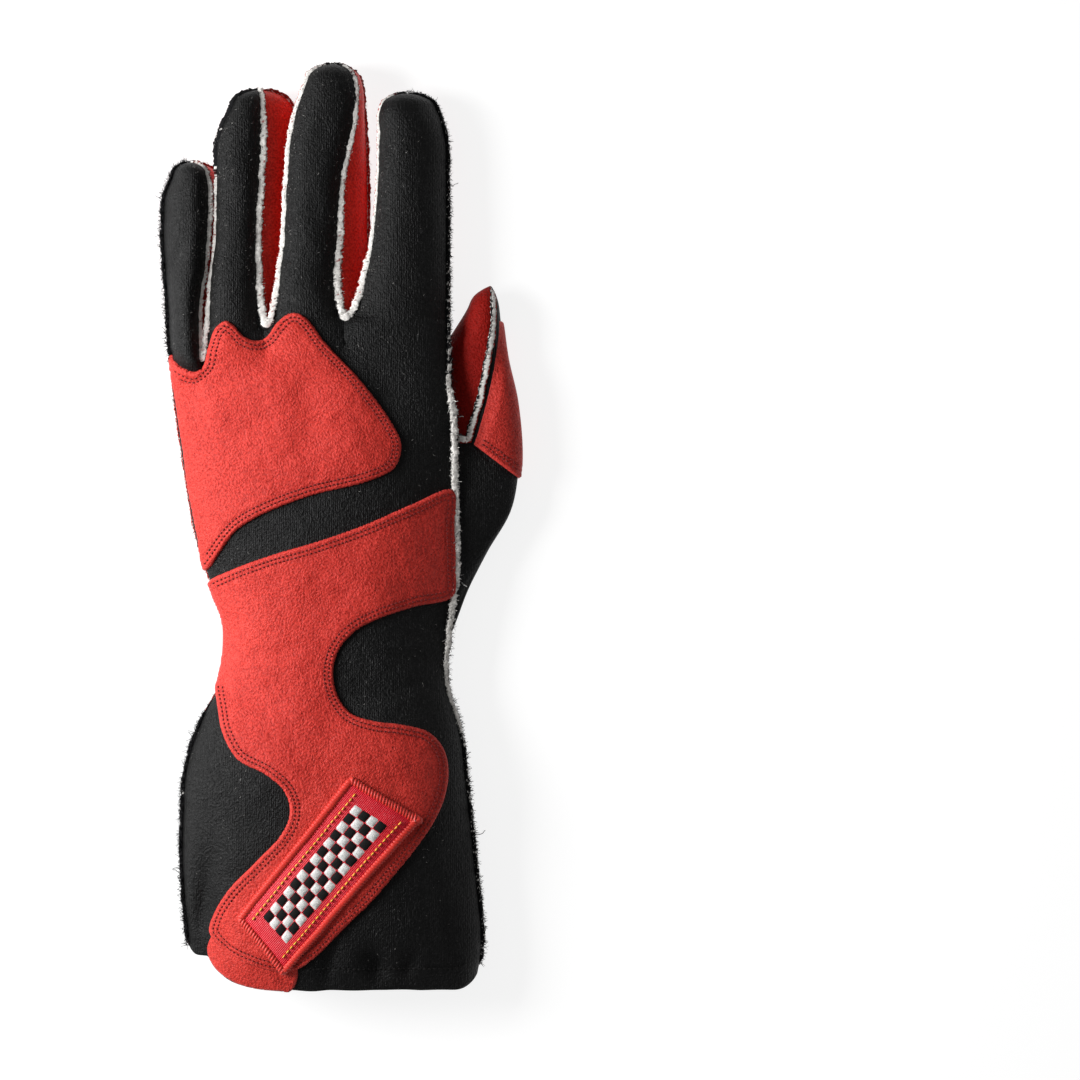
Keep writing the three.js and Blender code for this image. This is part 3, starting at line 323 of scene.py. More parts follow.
def crumple(x: np.ndarray, y: np.ndarray, seed: int, wavelength: float) -> np.ndarray:
    """Smooth noise over the plane, about -1 to 1, as a sum of waves in many directions.

    Args:
        x: places along X.
        y: places along Y.
        seed: which noise it is.
        wavelength: usual length of a wave.

    Returns:
        One value for each place.
    """
    rng = np.random.default_rng(seed)
    total = np.zeros_like(np.asarray(x, float))
    for _ in range(9):
        angle, length = rng.uniform(0, math.pi), wavelength * rng.uniform(0.6, 1.6)
        along = x * math.cos(angle) + y * math.sin(angle)
        total += np.sin(2 * math.pi * (along / length + rng.random()))
    return total / 4.5


def fold_depth(folds: tuple, x: np.ndarray, y: np.ndarray) -> np.ndarray:
    """How far folds press the cloth in.

    Args:
        folds: centre, half sizes, turn and depth of each.
        x: places along X.
        y: places along Y.

    Returns:
        The depth at each place.
    """
    depth = np.zeros_like(x)
    for cx, cy, half_x, half_y, turn, deep in folds:
        c, s = math.cos(math.radians(turn)), math.sin(math.radians(turn))
        u, v = (x - cx) * c + (y - cy) * s, (y - cy) * c - (x - cx) * s
        depth += deep * np.exp(-1.4 * ((u / half_x) ** 2 + (v / half_y) ** 2))
    return depth


def arch(count: int, power: float) -> np.ndarray:
    """Values that rise from 0 at one end to 1 in the middle and fall to 0 at the other."""
    return np.sin(np.linspace(0, math.pi, count)) ** power


def hermite(a: np.ndarray, b: np.ndarray, start: np.ndarray, end: np.ndarray,
            t: float) -> np.ndarray:
    """Point at share t of the smooth curve from a to b with the tangents start and end."""
    return (a * (2 * t ** 3 - 3 * t ** 2 + 1) + b * (3 * t ** 2 - 2 * t ** 3)
            + start * (t ** 3 - 2 * t ** 2 + t) + end * (t ** 3 - t ** 2))


def run_length(line: np.ndarray) -> np.ndarray:
    """Length of a line of points up to each of them."""
    return np.concatenate([[0], np.cumsum(np.linalg.norm(np.diff(line, axis=0), axis=1))])


def run_over(grid: np.ndarray, axis: int) -> np.ndarray:
    """Length along a grid's rows or columns up to each point."""
    first = np.take(grid, [0], axis=axis)
    return np.cumsum(np.linalg.norm(np.diff(grid, axis=axis, prepend=first), axis=2), axis=axis)


def grid_quads(shape: tuple, start: int = 0) -> np.ndarray:
    """Faces of a grid of points.

    Args:
        shape: its rows and columns.
        start: number of its first point.

    Returns:
        Four point numbers for each face.
    """
    index = np.arange(shape[0] * shape[1]).reshape(shape) + start
    return np.stack([index[:-1, :-1], index[:-1, 1:], index[1:, 1:], index[1:, :-1]],
                    axis=-1).reshape(-1, 4)


def tube_faces(index: np.ndarray) -> list:
    """Faces of a tube with closed ends.

    Args:
        index: vertex numbers, one row for each ring.

    Returns:
        The faces, the two ends last.
    """
    ring = np.roll(index, -1, axis=1)
    quads = np.stack([index[:-1], ring[:-1], ring[1:], index[1:]], axis=-1).reshape(-1, 4)
    return quads.tolist() + [index[0, ::-1].tolist(), index[-1].tolist()]


def blades(middles: list, sides: list) -> tuple:
    """Thin fibres, each a strip of three faces.

    Args:
        middles: four points along the middle of each fibre.
        sides: half widths at the same four points.

    Returns:
        The points, eight for each fibre, and the faces.
    """
    rows = [row for middle, side in zip(middles, sides) for row in (middle - side, middle + side)]
    points = np.stack(rows, axis=1).reshape(-1, 3)
    start = np.arange(len(middles[0]))[:, None] * 8
    return points, np.concatenate([start + np.array((k, k + 1, k + 3, k + 2)) for k in (0, 2, 4)])


def refine(rows: np.ndarray, steps: list) -> np.ndarray:
    """Smooth grid through rows of points.

    Args:
        rows: control rows, rows by columns by three.
        steps: number of new rows for each gap between two control rows.

    Returns:
        A grid that holds the control rows and the rows between them.
    """
    gap = np.maximum(np.linalg.norm(np.diff(rows, axis=0), axis=2).mean(axis=1), 1e-3)
    slope = np.diff(rows, axis=0) / gap[:, None, None]
    tangent = np.empty_like(rows)
    tangent[0], tangent[-1] = slope[0], slope[-1]
    before, after = gap[:-1, None, None], gap[1:, None, None]
    tangent[1:-1] = (slope[:-1] * after + slope[1:] * before) / (before + after)
    made = [hermite(rows[i], rows[i + 1], tangent[i] * gap[i], tangent[i + 1] * gap[i], t)
            for i, count in enumerate(steps) for t in np.arange(count) / count]
    return np.array(made + [rows[-1]])


def refine_columns(rows: np.ndarray, steps: list) -> np.ndarray:
    """The same smooth grid with new columns in place of new rows."""
    return refine(rows.transpose(1, 0, 2), steps).transpose(1, 0, 2)


def sample(grid: np.ndarray, row: np.ndarray, column: np.ndarray) -> np.ndarray:
    """Values of a grid between its points.

    Args:
        grid: the grid.
        row: fractional rows.
        column: fractional columns.

    Returns:
        A value for each row and column.
    """
    row, column = np.broadcast_arrays(np.clip(row, 0, len(grid) - 1.001),
                                      np.clip(column, 0, grid.shape[1] - 1.001))
    r, c = np.floor(row).astype(int), np.floor(column).astype(int)
    t, s = (row - r)[..., None], (column - c)[..., None]
    return lerp(lerp(grid[r, c], grid[r, c + 1], s), lerp(grid[r + 1, c], grid[r + 1, c + 1], s), t)


def grid_normals(grid: np.ndarray, flip: bool) -> np.ndarray:
    """Unit normals of a grid of points.

    Args:
        grid: the grid, whose rows run forward and whose columns run to the thumb.
        flip: whether the normals point down and not up.

    Returns:
        A normal for each point.
    """
    along, across = np.gradient(grid, axis=0), np.gradient(grid, axis=1)
    normal = np.cross(across, along)
    short = np.linalg.norm(normal, axis=2) < 1e-6
    if short.any():
        normal[short] = (0, 1, 0)
    return unit(-normal if flip else normal)


class Side(Enum):
    """The two sides of the hand."""

    BACK = "back"
    PALM = "palm"


@dataclass
class HandShape:
    """Middle surfaces of the glove's panels as smooth grids of points.

    Attributes:
        per_finger: columns of points across a finger.
        spacing: distance between two rows of points.
        finger_steps: new rows for each gap between a finger's control rows.
        knuckle_steps: new rows for each of the two gaps below the crotches.
    """

    per_finger: int = 20
    spacing: float = 1.2
    finger_steps: tuple = (1, 2, 2, 2, 3, 6, 12, 15, 16, 6, 3, 3, 3, 3)
    knuckle_steps: int = 6
    local: np.ndarray = field(init=False)

    def __post_init__(self) -> None:
        """Spaces the columns across a finger, closer together at its sides."""
        t = np.linspace(0, 1, self.per_finger + 1)
        self.local = lerp(t, (1 - np.cos(math.pi * t)) / 2, 0.45)

    def section_steps(self, first: int, last: int) -> list:
        """Numbers of new rows between two sections."""
        gaps = np.diff(SECTION["y"])[first:last]
        return [max(1, round(gap / self.spacing)) for gap in gaps]

    def columns(self, finger: int) -> np.ndarray:
        """Column places across one finger, in fingers from the little-finger side."""
        return finger + self.local

    def rows(self, side: Side, rows: range, column: np.ndarray) -> np.ndarray:
        """Control rows across the hand.

        Args:
            side: the side of the hand.
            rows: numbers of the sections.
            column: the columns, in fingers.

        Returns:
            Rows of points, a point for each column.
        """
        make = self.back_row if side is Side.BACK else self.palm_row
        return np.array([make({name: SECTION[name][row] for name in SECTION_NAMES}, row, column)
                         for row in rows])

    def width_share(self, column: np.ndarray, shares: tuple, even: float) -> np.ndarray:
        """Share of the width at each column, the side's own shares evened out below the hand."""
        knots = np.arange(FINGERS + 1)
        return lerp(np.interp(column, knots, shares), np.interp(column, knots, EVEN_SHARE), even)

    def back_row(self, s: dict, row: int, column: np.ndarray) -> np.ndarray:
        """One control row of the back.

        Args:
            s: the section's sizes.
            row: its number.
            column: the columns, in fingers.

        Returns:
            A point for each column.
        """
        share = self.width_share(column, BACK_SHARE, s["even"])
        z = lerp(s["ulnar_z"], s["radial_z"], share)
        z = z + (s["crown"] - (s["ulnar_z"] + s["radial_z"]) / 2) * crown_share(share, s["soft"])
        return np.stack([lerp(s["ulnar_x"], s["radial_x"], share), s["y"] + hem_rise(row, share),
                         np.maximum(z, REST_Z)], axis=-1)

    def palm_row(self, s: dict, row: int, column: np.ndarray) -> np.ndarray:
        """One control row of the palm, with the thumb's quarter moved to its own share.

        Args:
            s: the section's sizes.
            row: its number.
            column: the columns, in fingers.

        Returns:
            A point for each column.
        """
        share = self.width_share(column, PALM_SHARE, s["even"])
        at_split = lerp(PALM_SHARE[3], EVEN_SHARE[3], s["even"])
        split = split_share(row)
        across = np.where(share <= at_split, share / at_split * split,
                          lerp(split, 1, (share - at_split) / (1 - at_split)))
        lift = s["web"] * smoothstep(0.68, 0.9, across) * (1 - across ** 12)
        z = lerp(s["ulnar_z"], s["radial_z"], across) + lift
        z = z - ((s["ulnar_z"] + s["radial_z"]) / 2 - s["floor"]) * floor_share(across)
        if WRIST < row < WEB:
            z = lerp(z, KEYSTONE[row - WRIST][1], smoothstep(2.5, 3, column))
        return palm_points(lerp(s["ulnar_x"], s["radial_x"], across),
                           s["y"] + hem_rise(row, across), z)

    def finger_rows(self, finger: int, side: Side) -> np.ndarray:
        """Control rows of a finger's strip.

        Args:
            finger: its number from the little finger.
            side: the side of the hand.

        Returns:
            Rows of points, the crotches first and the tip last.
        """
        (tip_x, tip_y), rows = FINGER_OUTLINES[finger]
        ends = CROTCHES[side.value][finger:finger + 2]
        crest = "crown" if side is Side.BACK else "floor"
        base_heights = heights_at(0)
        made = [(ends[0], ends[1], base_heights[crest])]
        offset = 1 if side is Side.BACK else 3
        for i, row in enumerate(rows):
            h = heights_at((i + 1) / len(rows))
            left_z = h["outer_left"] if finger == 0 else h[side.value]
            right_z = h["outer_right"] if finger == FINGERS - 1 else h[side.value]
            made.append((np.array((row[offset], row[0], left_z)),
                         np.array((row[offset + 1], row[0], right_z)), h[crest]))
        base, first = made[:2]
        for i, along in enumerate(CROTCH_ROWS):
            share = np.array((along ** 0.5, along, along ** 0.5))
            made.insert(i + 1, (lerp(base[0], first[0], share), lerp(base[1], first[1], share),
                                lerp(base[2], first[2], along)))
        left, right, top = made[-1]
        tip = np.array((tip_x, tip_y, TIP_Z))
        for angle in TIP_ANGLES:
            shrink, advance = abs(math.cos(math.radians(angle))), math.sin(math.radians(angle))
            share = np.array((1 - shrink, advance, 1 - shrink))
            made.append((lerp(left, tip, share), lerp(right, tip, share),
                         lerp(TIP_Z, top, shrink ** TIP_FULLNESS)))
        made[-1] = (tip, tip, TIP_Z)
        return np.array([self.strip_row(*row, side) for row in made])

    def strip_row(self, left: np.ndarray, right: np.ndarray, top: float,
                  side: Side) -> np.ndarray:
        """One control row across a finger.

        Args:
            left: its point at the little-finger side.
            right: its point at the thumb side.
            top: its height in the middle.
            side: the side of the hand.

        Returns:
            A point for each column of the finger.
        """
        p = lerp(left, right, self.local[:, None])
        z = p[:, 2] + (top - (left[2] + right[2]) / 2) * finger_share(self.local)
        if side is Side.PALM:
            return palm_points(p[:, 0], p[:, 1], z)
        return np.stack([p[:, 0], p[:, 1], np.maximum(z, REST_Z)], axis=-1)

    def build(self, side: Side) -> tuple:
        """Dense grids of one side.

        Args:
            side: the side of the hand.

        Returns:
            The hand's grid up to the crotches, with the first row at the hem or the wrist, and a
            list with one grid for each finger. On the palm side the thumb-side quarter between
            the wrist and the web is left out of the hand's grid, as a grid of its own.
        """
        first = 0 if side is Side.BACK else WRIST
        hands, fingers = [], []
        for finger in range(FINGERS):
            start = WEB if side is Side.PALM and finger == FINGERS - 1 else first
            column = self.columns(finger)
            hand = self.rows(side, range(start, LAST + 1), column)
            rows = self.finger_rows(finger, side)
            half = lerp(hand[-1], rows[0], 0.5)
            steps = self.section_steps(start, LAST) + [self.knuckle_steps] * 2
            dense = refine(np.concatenate([hand, half[None], rows]),
                           steps + list(self.finger_steps))
            hands.append(dense[:sum(steps) + 1])
            fingers.append(dense[sum(steps):])
        return hands, fingers


def hem_rise(row: int, share: np.ndarray) -> np.ndarray:
    """How far the hem's two corners sweep up.

    Args:
        row: number of the section.
        share: shares of its width.

    Returns:
        The rise at each share, none from the fifth section on.
    """
    near = max(0, 1 - row / 4)
    left = (12 * np.exp(-np.maximum(0, share - 0.07) / 0.058)
            + 3 * np.maximum(0, 1 - share / 0.03) ** 2)
    right = (1 - np.sqrt(1 - np.clip(1 - (1 - share) / 0.08, 0, 1) ** 2)) * 8
    return near * (left + right + 0.4 * wobble(100 * np.asarray(share, float), 3, 34, 2))


def hem_line(x: np.ndarray) -> np.ndarray:
    """The hem's Y at each X."""
    left, right = SECTION["ulnar_x"][0], SECTION["radial_x"][0]
    return SECTION["y"][0] + hem_rise(0, np.clip((x - left) / (right - left), 0, 1))


def split_share(row: int) -> float:
    """Share of the width where the thumb-side quarter of the palm begins.

    Args:
        row: number of the section.

    Returns:
        The share.
    """
    left, right = SECTION["ulnar_x"][row], SECTION["radial_x"][row]
    if WRIST <= row <= WEB:
        return (KEYSTONE[row - WRIST][0] - left) / (right - left)
    if row > WEB:
        return lerp(PALM_SHARE[3], CUFF_SPLIT, SECTION["even"][row])
    at_wrist = (KEYSTONE[0][0] - left) / (right - left)
    return lerp(CUFF_SPLIT, at_wrist, max(0, 1 - (WRIST - row) / SPLIT_ROWS))


def heights_at(share: float) -> dict:
    """A finger's middle-surface heights at a share of its length."""
    return {name: lerp(FINGER_BASE[name], FINGER_END[name], share) for name in HEIGHT_NAMES}


def palm_points(x: np.ndarray, y: np.ndarray, z: np.ndarray) -> np.ndarray:
    """Points of the palm side, kept high enough for the suede overlay below them."""
    covered = smoothstep(-46, -32, y) * (1 - smoothstep(92, 106, y))
    return np.stack([x, y, np.maximum(z, lerp(REST_Z, PALM_REST_Z, covered))], axis=-1)


def press(grid: np.ndarray, folds: tuple, direction: float, share: np.ndarray) -> np.ndarray:
    """The grid with its folds and a little crumple.

    Args:
        grid: points of the middle surface.
        folds: what is pressed in.
        direction: 1 where the folds press down, -1 where they press up.
        share: share of them that reaches each point.

    Returns:
        The pressed grid.
    """
    made = grid.copy()
    x, y = grid[..., 0], grid[..., 1]
    depth = fold_depth(folds, x, y) + 0.34 * crumple(x, y, 5, 26) + 0.1 * crumple(x, y, 6, 9)
    made[..., 2] = np.maximum(grid[..., 2] - direction * depth * share, REST_Z)
    return made


def ring_points(ring: tuple, angle: np.ndarray) -> np.ndarray:
    """Points of a ring round the thumb.

    Args:
        ring: its left edge, right edge and half thickness.
        angle: angles from its left edge over the top, in degrees.

    Returns:
        A point for each angle.
    """
    left, right, half = np.array(ring[0]), np.array(ring[1]), ring[2]
    turn = np.radians(angle)
    p = lerp(left, right, ((1 - np.cos(turn)) / 2)[:, None])
    p[:, 2] = np.maximum(p[:, 2] + half * np.sin(turn), REST_Z)
    return p


def thumb_grid(base: np.ndarray, angles: list) -> np.ndarray:
    """Control rows of the thumb, from a base row to the tip.

    Args:
        base: the points that the thumb starts from.
        angles: for each ring, the angle of each base point on it.

    Returns:
        Rows of points, the base first and the tip last.
    """
    rings = [ring_points(ring, angle) for ring, angle in zip(THUMB_RINGS, angles)]
    rows = [base]
    for share, bulge in THUMB_BASE_STEPS:
        outwards = np.maximum(0, -np.cos(np.radians(angles[0])))[:, None]
        rows.append(lerp(base, rings[0], share) + THUMB_BULGE * outwards * bulge)
    rows += rings
    for angle in THUMB_TIP_ANGLES:
        shrink = abs(math.cos(math.radians(angle))) ** THUMB_TIP_POINT
        advance = math.sin(math.radians(angle))
        rows.append(lerp(rings[-1], THUMB_TIP, np.array((1 - shrink, advance, 1 - shrink))))
    rows[-1] = np.repeat(THUMB_TIP[None], len(base), axis=0)
    made = np.array(rows)
    made[..., 2] = np.maximum(made[..., 2], REST_Z)
    return made


def link(name: str, points: np.ndarray, faces: list, materials: list, slot: str,
         nodes: tuple = (), **attributes: np.ndarray) -> bpy.types.Object:
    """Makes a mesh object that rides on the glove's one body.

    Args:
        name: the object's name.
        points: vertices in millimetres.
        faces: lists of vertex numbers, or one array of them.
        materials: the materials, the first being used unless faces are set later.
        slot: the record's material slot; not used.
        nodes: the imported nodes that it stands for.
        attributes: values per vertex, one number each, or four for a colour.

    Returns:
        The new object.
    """
    mesh = bpy.data.meshes.new(name)
    mesh.from_pydata((np.asarray(points, float) * MM).tolist(), [],
                     faces.tolist() if isinstance(faces, np.ndarray) else faces)
    for key, values in attributes.items():
        wide = np.ndim(values) == 2
        made = mesh.attributes.new(key, "FLOAT_COLOR" if wide else "FLOAT", "POINT")
        made.data.foreach_set("color" if wide else "value", np.ravel(values).astype(np.float32))
    for material in materials:
        mesh.materials.append(material)
    mesh.polygons.foreach_set("use_smooth", [True] * len(mesh.polygons))
    mesh.update()
    piece = bpy.data.objects.new(name, mesh)
    bpy.context.scene.collection.objects.link(piece)
    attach(piece, ROOT)
    if nodes:
        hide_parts(*nodes)
    LOG.info("%s: %d points, %d faces", name, len(points), len(faces))
    return piece


def weld(grids: list, flip: bool) -> tuple:
    """Joins grids into one mesh whose shared points are one.

    Args:
        grids: grids of points.
        flip: whether the faces are turned over.

    Returns:
        The points, the faces and the unit normal of each point.
    """
    points, quads, start = [], [], 0
    for grid in grids:
        quads.append(grid_quads(grid.shape[:2], start))
        points.append(grid.reshape(-1, 3))
        start += len(points[-1])
    points, quads = np.concatenate(points), np.concatenate(quads)
    _, first, inverse = np.unique(points.round(3), axis=0, return_index=True, return_inverse=True)
    points, quads = points[first], inverse.reshape(-1)[quads]
    if flip:
        quads = quads[:, ::-1]
    normal = np.zeros_like(points)
    cross = np.cross(points[quads[:, 2]] - points[quads[:, 0]],
                     points[quads[:, 3]] - points[quads[:, 1]])
    for k in range(4):
        np.add.at(normal, quads[:, k], cross)
    faces = [list(dict.fromkeys(quad)) for quad in quads.tolist()]
    return points, [face for face in faces if len(face) > 2], unit(normal)


def rim_edges(faces: list) -> list:
    """Edges at the rim of a mesh.

    Args:
        faces: its faces.

    Returns:
        The edges that only one face uses, in that face's direction.
    """
    edges = set()
    for face in faces:
        for a, b in zip(face, face[1:] + face[:1]):
            if (b, a) in edges:
                edges.discard((b, a))
            else:
                edges.add((a, b))
    return sorted(edges)


@dataclass
class Panel:
    """A sewn cloth or suede panel with an outer face, a lining and its cut edge.

    Attributes:
        name: the piece's name.
        nodes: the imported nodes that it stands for.
        grids: grids of the middle surface.
        flip: whether the grids' outer face points down.
        outside: finish of the outer face.
        lining: finish of the inner face.
        slot: the record's material slot.
        flat: width and length of the cut, in metres.
        area: flat area of the cut, in square metres.
        held: how the cloth is held.
        outwards: distance from the middle surface to the outer face.
        inwards: distance from it to the inner face.
        hem: width of the band at the hem that is folded inwards.
        fold: how much thicker that band is, and over what height it sets in.
    """

    name: str
    nodes: tuple
    grids: list
    flip: bool
    outside: bpy.types.Material
    lining: bpy.types.Material
    slot: str
    flat: tuple
    area: float
    held: str = "laid"
    outwards: float = WALL / 2
    inwards: float = 0.6
    hem: float = 0.0
    fold: float = 0.8

    def build(self) -> None:
        points, faces, normal = weld(self.grids, self.flip)
        outer = points + normal * self.outwards
        outer[:, 2] = np.maximum(outer[:, 2], PANEL_FLOOR)
        above = points[:, 1] - hem_line(points[:, 0])
        folded = 1 - smoothstep(self.hem - self.fold, self.hem, above) if self.hem else 0 * above
        inner = points - normal * (self.inwards + self.fold * folded)[:, None]
        count = len(points)
        inner_faces = [[i + count for i in reversed(face)] for face in faces]
        edge = [[a, a + count, b + count, b] for a, b in rim_edges(faces)]
        piece = link(self.name, np.concatenate([outer, inner]), faces + inner_faces + edge,
                     [self.outside, self.lining], self.slot, self.nodes)
        kinds = np.zeros(len(faces) * 2 + len(edge), np.int32)
        kinds[len(faces):] = 1
        if self.hem:
            low = [above[face].mean() < self.hem for face in faces]
            kinds[len(faces):2 * len(faces)] = np.where(low, 0, 1)
            kinds[2 * len(faces):] = 0
        piece.data.polygons.foreach_set("material_index", kinds)
        self.outer, self.faces, self.normal = outer, faces, normal

    def skin(self) -> "Skin":
        """The outer face, to lay other pieces on."""
        return Skin(self.outer, self.faces, self.normal, -1.0 if self.flip else 1.0)


@dataclass
class Skin:
    """The outer face of a panel, looked up from above or from below.

    Attributes:
        points: its points.
        faces: its faces.
        normals: the unit normal at each point.
        up: 1 where it is seen from above, -1 from below.
        far: distance from which it is looked up.
        middle: height of the glove's inside, where the nearest place is looked for.
    """

    points: np.ndarray
    faces: list
    normals: np.ndarray
    up: float = 1.0
    far: float = 80.0
    middle: float = 12.0

    def __post_init__(self) -> None:
        """Builds the tree that places are looked up in."""
        self.triangles = np.array([
            (face[0], face[k], face[k + 1])
            for face in self.faces for k in range(1, len(face) - 1)])
        self.tree = BVHTree.FromPolygons(
            self.points.tolist(), self.triangles.tolist(), all_triangles=True)

    def lay(self, plan: np.ndarray, height: np.ndarray) -> np.ndarray:
        """Places points over the skin.

        Args:
            plan: their X and Y.
            height: how far each is off the skin, along its normal.

        Returns:
            The points in space.
        """
        places, normals = self.look_up(plan)
        return places + normals * np.asarray(height, float).reshape(-1, 1)

    def look_up(self, plan: np.ndarray) -> tuple:
        """Finds the skin at places in plan.

        Args:
            plan: their X and Y.

        Returns:
            The skin's point and its unit normal at each, those of the nearest point off its edge.
        """
        places, hits = np.empty((len(plan), 3)), np.empty(len(plan), int)
        down = Vector((0, 0, -self.up))
        for i, (x, y) in enumerate(plan):
            hit, _, index, _ = self.tree.ray_cast(Vector((x, y, self.far * self.up)), down)
            if hit is None:
                hit, _, index, _ = self.tree.find_nearest(Vector((x, y, self.middle)))
            places[i], hits[i] = hit, index
        corner = self.points[self.triangles[hits]]
        spoke = self.normals[self.triangles[hits]]
        a, b, p = corner[:, 1] - corner[:, 0], corner[:, 2] - corner[:, 0], places - corner[:, 0]
        aa, ab, bb = (a * a).sum(1), (a * b).sum(1), (b * b).sum(1)
        pa, pb = (p * a).sum(1), (p * b).sum(1)
        below = np.maximum(aa * bb - ab * ab, 1e-12)
        u, v = (bb * pa - ab * pb) / below, (aa * pb - ab * pa) / below
        first, second, third = spoke.transpose(1, 0, 2)
        return places, unit(
            first * (1 - u - v)[:, None] + second * u[:, None] + third * v[:, None])


def smooth_loop(controls: np.ndarray, spacing: float) -> tuple:
    """Closed smooth curve through control points.

    Args:
        controls: X, Y and a flag for each control point.
        spacing: distance between two points of the curve.

    Returns:
        The curve's points, and for each whether the stretch it lies on has its flag set.
    """
    xy, flags = controls[:, :2], controls[:, 2]
    count = len(xy)
    points, marks = [], []
    for i in range(count):
        p0, p1, p2, p3 = (xy[(i + k - 1) % count] for k in range(4))
        d1, d2, d3 = (max(np.linalg.norm(b - a), 1e-6) ** 0.5
                      for a, b in ((p0, p1), (p1, p2), (p2, p3)))
        m1 = (p2 - p1) + d2 * ((p1 - p0) / d1 - (p2 - p0) / (d1 + d2))
        m2 = (p2 - p1) + d2 * ((p3 - p2) / d3 - (p3 - p1) / (d2 + d3))
        points += [hermite(p1, p2, m1, m2, t) for t in np.arange(24) / 24]
        marks += [flags[i] > 0] * 24
    return even_out(np.array(points), np.array(marks), spacing)


def even_out(points: np.ndarray, marks: np.ndarray, spacing: float) -> tuple:
    """The same closed line with evenly spaced points.

    Args:
        points: the line's points.
        marks: a mark for each.
        spacing: distance between two new points.

    Returns:
        The new points, and for each the mark of the old point before it.
    """
    line = np.concatenate([points, points[:1]])
    length = run_length(line)
    count = max(3, round(length[-1] / spacing))
    at = np.linspace(0, length[-1], count + 1)[:count]
    made = np.stack([np.interp(at, length, line[:, k]) for k in range(line.shape[1])], axis=-1)
    nearest = np.minimum(np.searchsorted(length, at + 1e-9) - 1, len(marks) - 1)
    return made, marks[np.maximum(nearest, 0)]


def smooth_line(controls: tuple, steps: int = 10) -> np.ndarray:
    """Open smooth line through control points in plan."""
    rows = np.array(controls, float)[:, None]
    return refine(rows, [steps] * (len(rows) - 1))[:, 0]


def zigzag(left: float, right: float, y: float, tall: float, pitch: float) -> np.ndarray:
    """Zigzag line along X, with a little unevenness.

    Args:
        left: X of its start.
        right: X of its end.
        y: its middle.
        tall: its height from one turn to the next.
        pitch: its length from one turn to the next but one.

    Returns:
        The turns' X and Y.
    """
    rng = np.random.default_rng(int(1000 + y))
    x = np.arange(left, right, pitch / 2)
    x, side = x + rng.normal(0, pitch / 14, len(x)), np.where(np.arange(len(x)) % 2, 0.5, -0.5)
    return np.stack([x, y + tall * side * rng.uniform(0.85, 1.1, len(x))], axis=-1)


def distance_to(points: np.ndarray, line: np.ndarray, keep: object = slice(None)) -> tuple:
    """Distance in plan from points to a closed line.

    Args:
        points: X and Y of each point.
        line: the closed line's points.
        keep: which of the line's stretches count, all where it isn't given.

    Returns:
        The distance of each point and the nearest place on the line.
    """
    start, end = line[keep], np.roll(line, -1, axis=0)[keep]
    best, place, batch = np.full(len(points), 1e9), np.zeros((len(points), 2)), 4000
    if not len(start):
        return best, place
    way = end - start
    size = np.maximum((way * way).sum(1), 1e-12)
    for first in range(0, len(points), batch):
        part = slice(first, first + batch)
        p = points[part, None, :]
        t = np.clip(((p - start) * way).sum(2) / size, 0, 1)
        near = start + way * t[..., None]
        gap = ((p - near) ** 2).sum(2)
        pick = gap.argmin(1)
        rows = np.arange(len(pick))
        best[part], place[part] = np.sqrt(gap[rows, pick]), near[rows, pick]
    return best, place


def inside(points: np.ndarray, line: np.ndarray) -> np.ndarray:
    """Whether points lie inside a closed line.

    Args:
        points: X and Y of each point.
        line: the line's points.

    Returns:
        True for each point inside.
    """
    x, y = points[:, 0], points[:, 1]
    odd = np.zeros(len(points), bool)
    for a, b in zip(line, np.roll(line, -1, axis=0)):
        crosses = (a[1] > y) != (b[1] > y)
        if crosses.any():
            at = a[0] + (y - a[1]) / (b[1] - a[1] + 1e-12) * (b[0] - a[0])
            odd ^= crosses & (x < at)
    return odd


